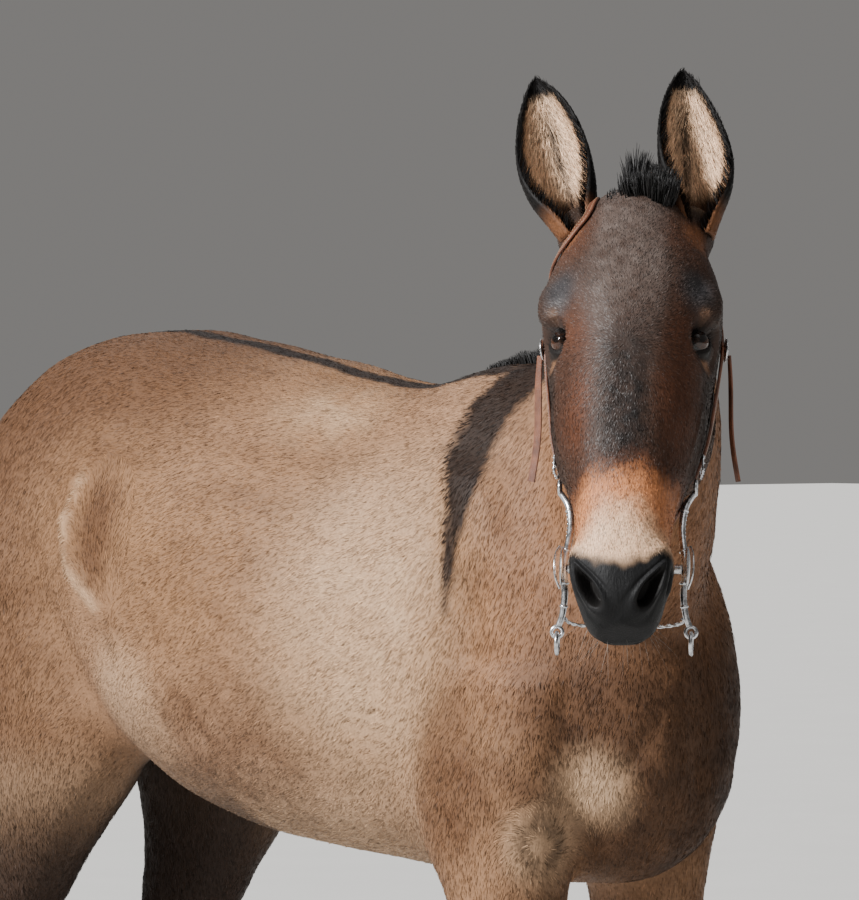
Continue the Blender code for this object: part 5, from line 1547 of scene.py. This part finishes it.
def buildHoof(kind, side, name):
    front, back, halfWidth, apart = hoofBuild[kind]
    shift = stance[kind + "_" + name] * (1.15 - 0.065) / 1.15
    front, back = front + shift, back + shift
    middle, half = (front + back) / 2, (back - front) / 2
    rings = []
    high, low = hoofBuild["coronet"]
    for level in range(hoofBuild["levels"] + 1):
        down = level / hoofBuild["levels"]
        ring = []
        ridge = 0.00055 * math.sin(9.5 * math.pi * down) * math.sin(math.pi * min(down, 0.93))
        bead = 0.0016 * math.exp(-((down - 0.05) / 0.05) ** 2)
        edge = -0.0018 * max(down - 0.94, 0) / 0.06
        for across, along in section(1, 1, 2.25, 44):
            wide = (halfWidth + hoofBuild["spread"] * down + ridge + bead + edge) * across
            y = middle + (half + ridge + bead + edge) * along
            top = high + (low - high) * (y - front) / (back - front)
            forward = hoofBuild["toe"] * (0.62 - 0.38 * along)
            height = (top + 0.001) * (1 - down)
            ring.append(Vector((side * apart + wide, y - forward * down, height)) + centring)
        rings.append(ring)
    bm = ringBody(rings)
    finishedPiece("horn_%s_%s" % (kind, name), bm, hornLook, "hoof", "hoof_%s_%s" % (kind, name))


# The bridle and its bit

crownPath = [(0.150, -0.120, 0.108), (0.105, -0.124, 0.106), (0.060, -0.128, 0.092), (0.025, -0.135, 0.070),
             (-0.005, -0.135, 0.040), (-0.018, -0.128, 0.0)]
cheekPath = [(0.150, -0.120, 0.106), (0.200, -0.118, 0.102), (0.250, -0.114, 0.095), (0.300, -0.108, 0.086),
             (0.340, -0.103, 0.080)]
earLoopPath = [(0.085, -0.100, 0.100), (0.075, -0.062, 0.098), (0.061, -0.035, 0.088), (0.040, -0.022, 0.070),
               (0.022, -0.026, 0.048), (0.004, -0.050, 0.034), (-0.012, -0.090, 0.030)]
curbPath = [(0.366, -0.108, 0.069), (0.380, -0.135, 0.062), (0.392, -0.160, 0.042), (0.396, -0.172, 0.0)]
shankRows = [   # down, out, to the side, radius
    (0.358, -0.100, 0.0795, 0.0036), (0.376, -0.102, 0.0690, 0.0040), (0.405, -0.101, 0.0655, 0.0042),
    (0.432, -0.098, 0.0680, 0.0042), (0.462, -0.096, 0.0715, 0.0046), (0.490, -0.103, 0.0695, 0.0040),
    (0.512, -0.114, 0.0720, 0.0037), (0.524, -0.121, 0.0765, 0.0036),
]
bowPath = [(0.434, -0.092, 0.0765), (0.446, -0.084, 0.0800), (0.462, -0.081, 0.0815), (0.478, -0.086, 0.0800),
           (0.488, -0.096, 0.0750)]
tackBuild = {"width": 0.018, "half": 0.0019, "lift": 0.0036, "concho": 0.0150, "tie": 0.150, "ring": 0.0125,
             "wire": 0.0024}


# A path down the right side and up the left one
def overBoth(path):
    return [placed(row, -1) for row in path] + [placed(row, 1) for row in reversed(path[:-1])]


# A strap on the coat along a path
def bandOn(tree, path, width, lift=None):
    points, normals = [], []
    for row in between([tuple(point) for point in path], 7):
        contact, normal = tree.find_nearest(Vector(row))[:2]
        points.append(np.array(contact))
        normals.append(np.array(normal))
    points, normals = smoothed(np.array(points), 8), unit(smoothed(np.array(normals), 8))
    points = points + normals * (tackBuild["lift"] if lift is None else lift)
    ahead = np.gradient(points, axis=0)
    sides = unit(np.cross(normals, ahead))
    band = sweptBody(points, sides, [(width / 2, tackBuild["half"])] * len(points), 5.0, 20)
    return band, points, normals, sides


# Short threads in two rows along a strap
def stitchesOn(points, normals, sides, width, gap=0.0042):
    lengths = runLengths(points)
    parts = []
    for along in np.arange(gap, lengths[-1] - gap, gap):
        contact = rowsAt(along, lengths, points)
        normal = unit(rowsAt(along, lengths, normals))
        side = unit(rowsAt(along, lengths, sides))
        ahead = np.cross(side, normal)
        turn = Matrix((Vector(ahead), Vector(side), Vector(normal))).transposed()
        for edge in (-1, 1):
            centre = contact + side * edge * (width / 2 - 0.0022) + normal * (tackBuild["half"] - 0.0001)
            parts.append(beadAt(Vector(centre), (0.0014, 0.00040, 0.00035), turn, (5, 3)))
    return parts


# Evenly turned directions in a plane
def spokes(turn, count):
    angles = [2 * math.pi * index / count for index in range(count)]
    return [turn @ Vector((math.cos(angle), math.sin(angle), 0)) for angle in angles]


def buildConcho(tree, side, name):
    contact, normal = tree.find_nearest(placed(crownPath[0], side))[:2]
    turn = normal.to_track_quat("Z", "Y").to_matrix()
    centre = contact + normal * 0.0078
    radius = tackBuild["concho"]
    parts = [beadAt(centre, (radius * 0.93, radius * 0.93, 0.0022), turn, (40, 12)),
             beadAt(centre + normal * 0.0016, (radius * 0.45, radius * 0.45, 0.0022), turn, (28, 10)),
             wireLoop(centre + normal * 0.0004, normal, radius * 0.92, 0.0009)]
    for out in spokes(turn, 24):
        parts.append(roundBead(centre + normal * 0.0014 + out * radius * 0.76, 0.0012))
    for out in spokes(turn, 8):
        axes = Matrix((out, normal.cross(out), normal)).transposed()
        petal = centre + normal * 0.0018 + out * radius * 0.54
        parts.append(beadAt(petal, (0.0028, 0.0013, 0.0010), axes, (10, 6)))
    finishedPiece("conchoDisc_" + name, parts, silverLook, "silver", "concho_" + name)
    top = contact + normal * 0.0125 - Vector((0, 0, 0.006))
    path = []
    for index in range(15):
        share = index / 14
        path.append(top + Vector((0, 0, -tackBuild["tie"] * share)) + headLeft * side * 0.010 * share ** 2
                    - outOfFace * 0.004 * share + headLeft * side * 0.0012 * math.sin(7 * share))
    wide = headLeft * (0.85 if side < 0 else 0.40) + outOfFace * (0.50 if side < 0 else 0.90)
    halves = [(0.0034 + 0.0016 * min(index / 4, 1), 0.0014) for index in range(15)]
    finishedPiece("tieStrap_" + name, sweptBody(path, [wide] * 15, halves, 4.0, 12), leatherLook, "leather",
                  "tie_" + name)


def buildBuckle(tree, side, name):
    contact, normal = tree.find_nearest(placed((0.318, -0.106, 0.084), side))[:2]
    axes = Matrix((downFace, normal.cross(downFace).normalized(), normal)).transposed()
    centre = contact + normal * 0.0066
    corners = []
    for index in range(33):
        angle = 2 * math.pi * index / 32
        along = 0.0125 * math.copysign(abs(math.cos(angle)) ** 0.55, math.cos(angle))
        across = 0.0105 * math.copysign(abs(math.sin(angle)) ** 0.55, math.sin(angle))
        corners.append(centre + axes @ Vector((along, across, 0)))
    parts = [evenBody(corners, normal, (0.0013, 0.0018), 2.5, 10)]
    parts.append(beadAt(centre - normal * 0.0008, (0.0035, 0.0098, 0.0016), axes, (16, 8)))
    for bead in range(16):
        parts.append(roundBead(corners[bead * 2] + normal * 0.0014, 0.0011))
    prong = []
    for step in range(7):
        up = 0.0012 + 0.001 * math.sin(step / 2)
        prong.append(centre + axes @ Vector((0.0118 - 0.024 * step / 6, 0, up)))
    parts.append(evenBody(prong, normal, (0.0009, 0.0009), 2.0, 8))
    finishedPiece("buckleFrame_" + name, parts, silverLook, "silver", "buckle_" + name)


def buildShank(side, name):
    rows = between(shankRows, 5)
    path = [placed(row, side) for row in rows]
    parts = [sweptBody(path, [headLeft] * len(rows), [(row[3], row[3]) for row in rows], 2.0, 14)]
    out = headLeft * side
    through = headWay(0.45, 1, 0)
    parts.append(beadAt(placed((0.458, -0.096, 0.0735), side), (0.0255, 0.0125, 0.0034),
                        Matrix((downFace, outOfFace, headLeft)).transposed(), (28, 12)))
    for down, size in ((0.437, 0.0056), (0.480, 0.0058), (0.502, 0.0050), (0.384, 0.0052)):
        index = int(np.argmin(np.abs(rows[:, 0] - down)))
        ahead = (path[index + 1] - path[index - 1]).normalized()
        across = ahead.cross(out)
        axes = Matrix((ahead, across.normalized(), ahead.cross(across).normalized())).transposed()
        parts.append(beadAt(path[index], (0.0030, size, size), axes, (18, 10)))
    bow = between([tuple(placed(row, side)) for row in bowPath], 5)
    parts.append(evenBody([Vector(point) for point in bow], out, (0.0013, 0.0013), 2.0, 8))
    parts.append(wireLoop(placed((0.3515, -0.0995, 0.0805), side), headLeft, 0.0080, 0.0023))
    eye = placed((0.5305, -0.1245, 0.0785), side)
    parts.append(wireLoop(eye, through, 0.0064, 0.0022))
    for place in path[6:13]:
        parts.append(roundBead(place + out * 0.0036, 0.0013))
    finishedPiece("shank_" + name, parts, silverLook, "silver", "bit_shank_" + name)
    hung = eye - Vector((0, 0, tackBuild["ring"] + 0.0006))
    rein = wireLoop(hung, Vector((0, 0, 1)).cross(through), tackBuild["ring"], tackBuild["wire"])
    finishedPiece("looseRing_" + name, rein, silverLook, "silver", "rein_ring_" + name)


def buildTack(tree):
    straps = [("crownStrap", overBoth(crownPath), tackBuild["width"], None, "headstall_crown"),
              ("earLoopStrap", [placed(row, -1) for row in earLoopPath], 0.013, None, "ear_loop"),
              ("curbLeather", overBoth(curbPath), 0.012, None, "curb_strap")]
    for side, name in sideNames:
        straps.append(("cheekLeather_" + name, [placed(row, side) for row in cheekPath],
                       tackBuild["width"] * 0.85, 0.0044, "cheek_strap_" + name))
    threads = []
    for name, path, width, lift, node in straps:
        band, points, normals, sides = bandOn(tree, path, width, lift)
        finishedPiece(name, band, leatherLook, "leather", node)
        threads += stitchesOn(points, normals, sides, width)
    finishedPiece("threads", threads, threadLook, "leather")
    for side, name in sideNames:
        buildConcho(tree, side, name)
        buildBuckle(tree, side, name)
        buildShank(side, name)
    reach = 0.0664
    bar = [onHead(0.462, -0.096, reach * (index / 6 - 1)) for index in range(13)]
    finishedPiece("mouthBar", evenBody(bar, downFace, (0.0057, 0.0057), 2.0, 16), silverLook,
                  "silver", "bit_mouthpiece")
    rope = []
    for index in range(41):
        turn = math.pi * index / 40
        rope.append(onHead(0.516 - 0.012 * math.sin(turn), -0.118 - 0.046 * math.sin(turn) ** 0.8,
                           0.0690 * math.cos(turn)))
    parts = []
    for strand in range(2):
        twisted = []
        for index, point in enumerate(rope):
            ahead = (rope[min(index + 1, 40)] - rope[max(index - 1, 0)]).normalized()
            first = ahead.cross(downFace).normalized()
            angle = 1.15 * index + math.pi * strand
            twisted.append(point + (first * math.cos(angle) + ahead.cross(first) * math.sin(angle)) * 0.0011)
        parts.append(evenBody(twisted, downFace, (0.0014, 0.0014), 2.0, 8))
    finishedPiece("ropeBar", parts, silverLook, "silver", "shank_bar")
    print("bridle")


for side, name in sideNames:
    buildEye(side, name)
    buildEar(side, name)
    buildHoof("fore", side, name)
    buildHoof("hind", side, name)
print("eyes, ears and hooves")
growForelock()
bodyTree = skinTree()
growMane(bodyTree)
growTail()
growWhiskers(bodyTree)
print("mane, forelock and tail")
buildTack(bodyTree)


def addFloor():
    bm = bmesh.new()
    bmesh.ops.create_grid(bm, x_segments=1, y_segments=1, size=58)
    mesh = meshFrom(bm, "floor")
    look, tree, shader = newMaterial("paleFloor", (0.60, 0.59, 0.57), 0.9)
    rampBy(tree, shader, noiseNode(tree, 3, 2.0).outputs["Fac"], (0.58, 0.57, 0.55), (0.62, 0.61, 0.59))
    newObject("floor", mesh, look)


addFloor()
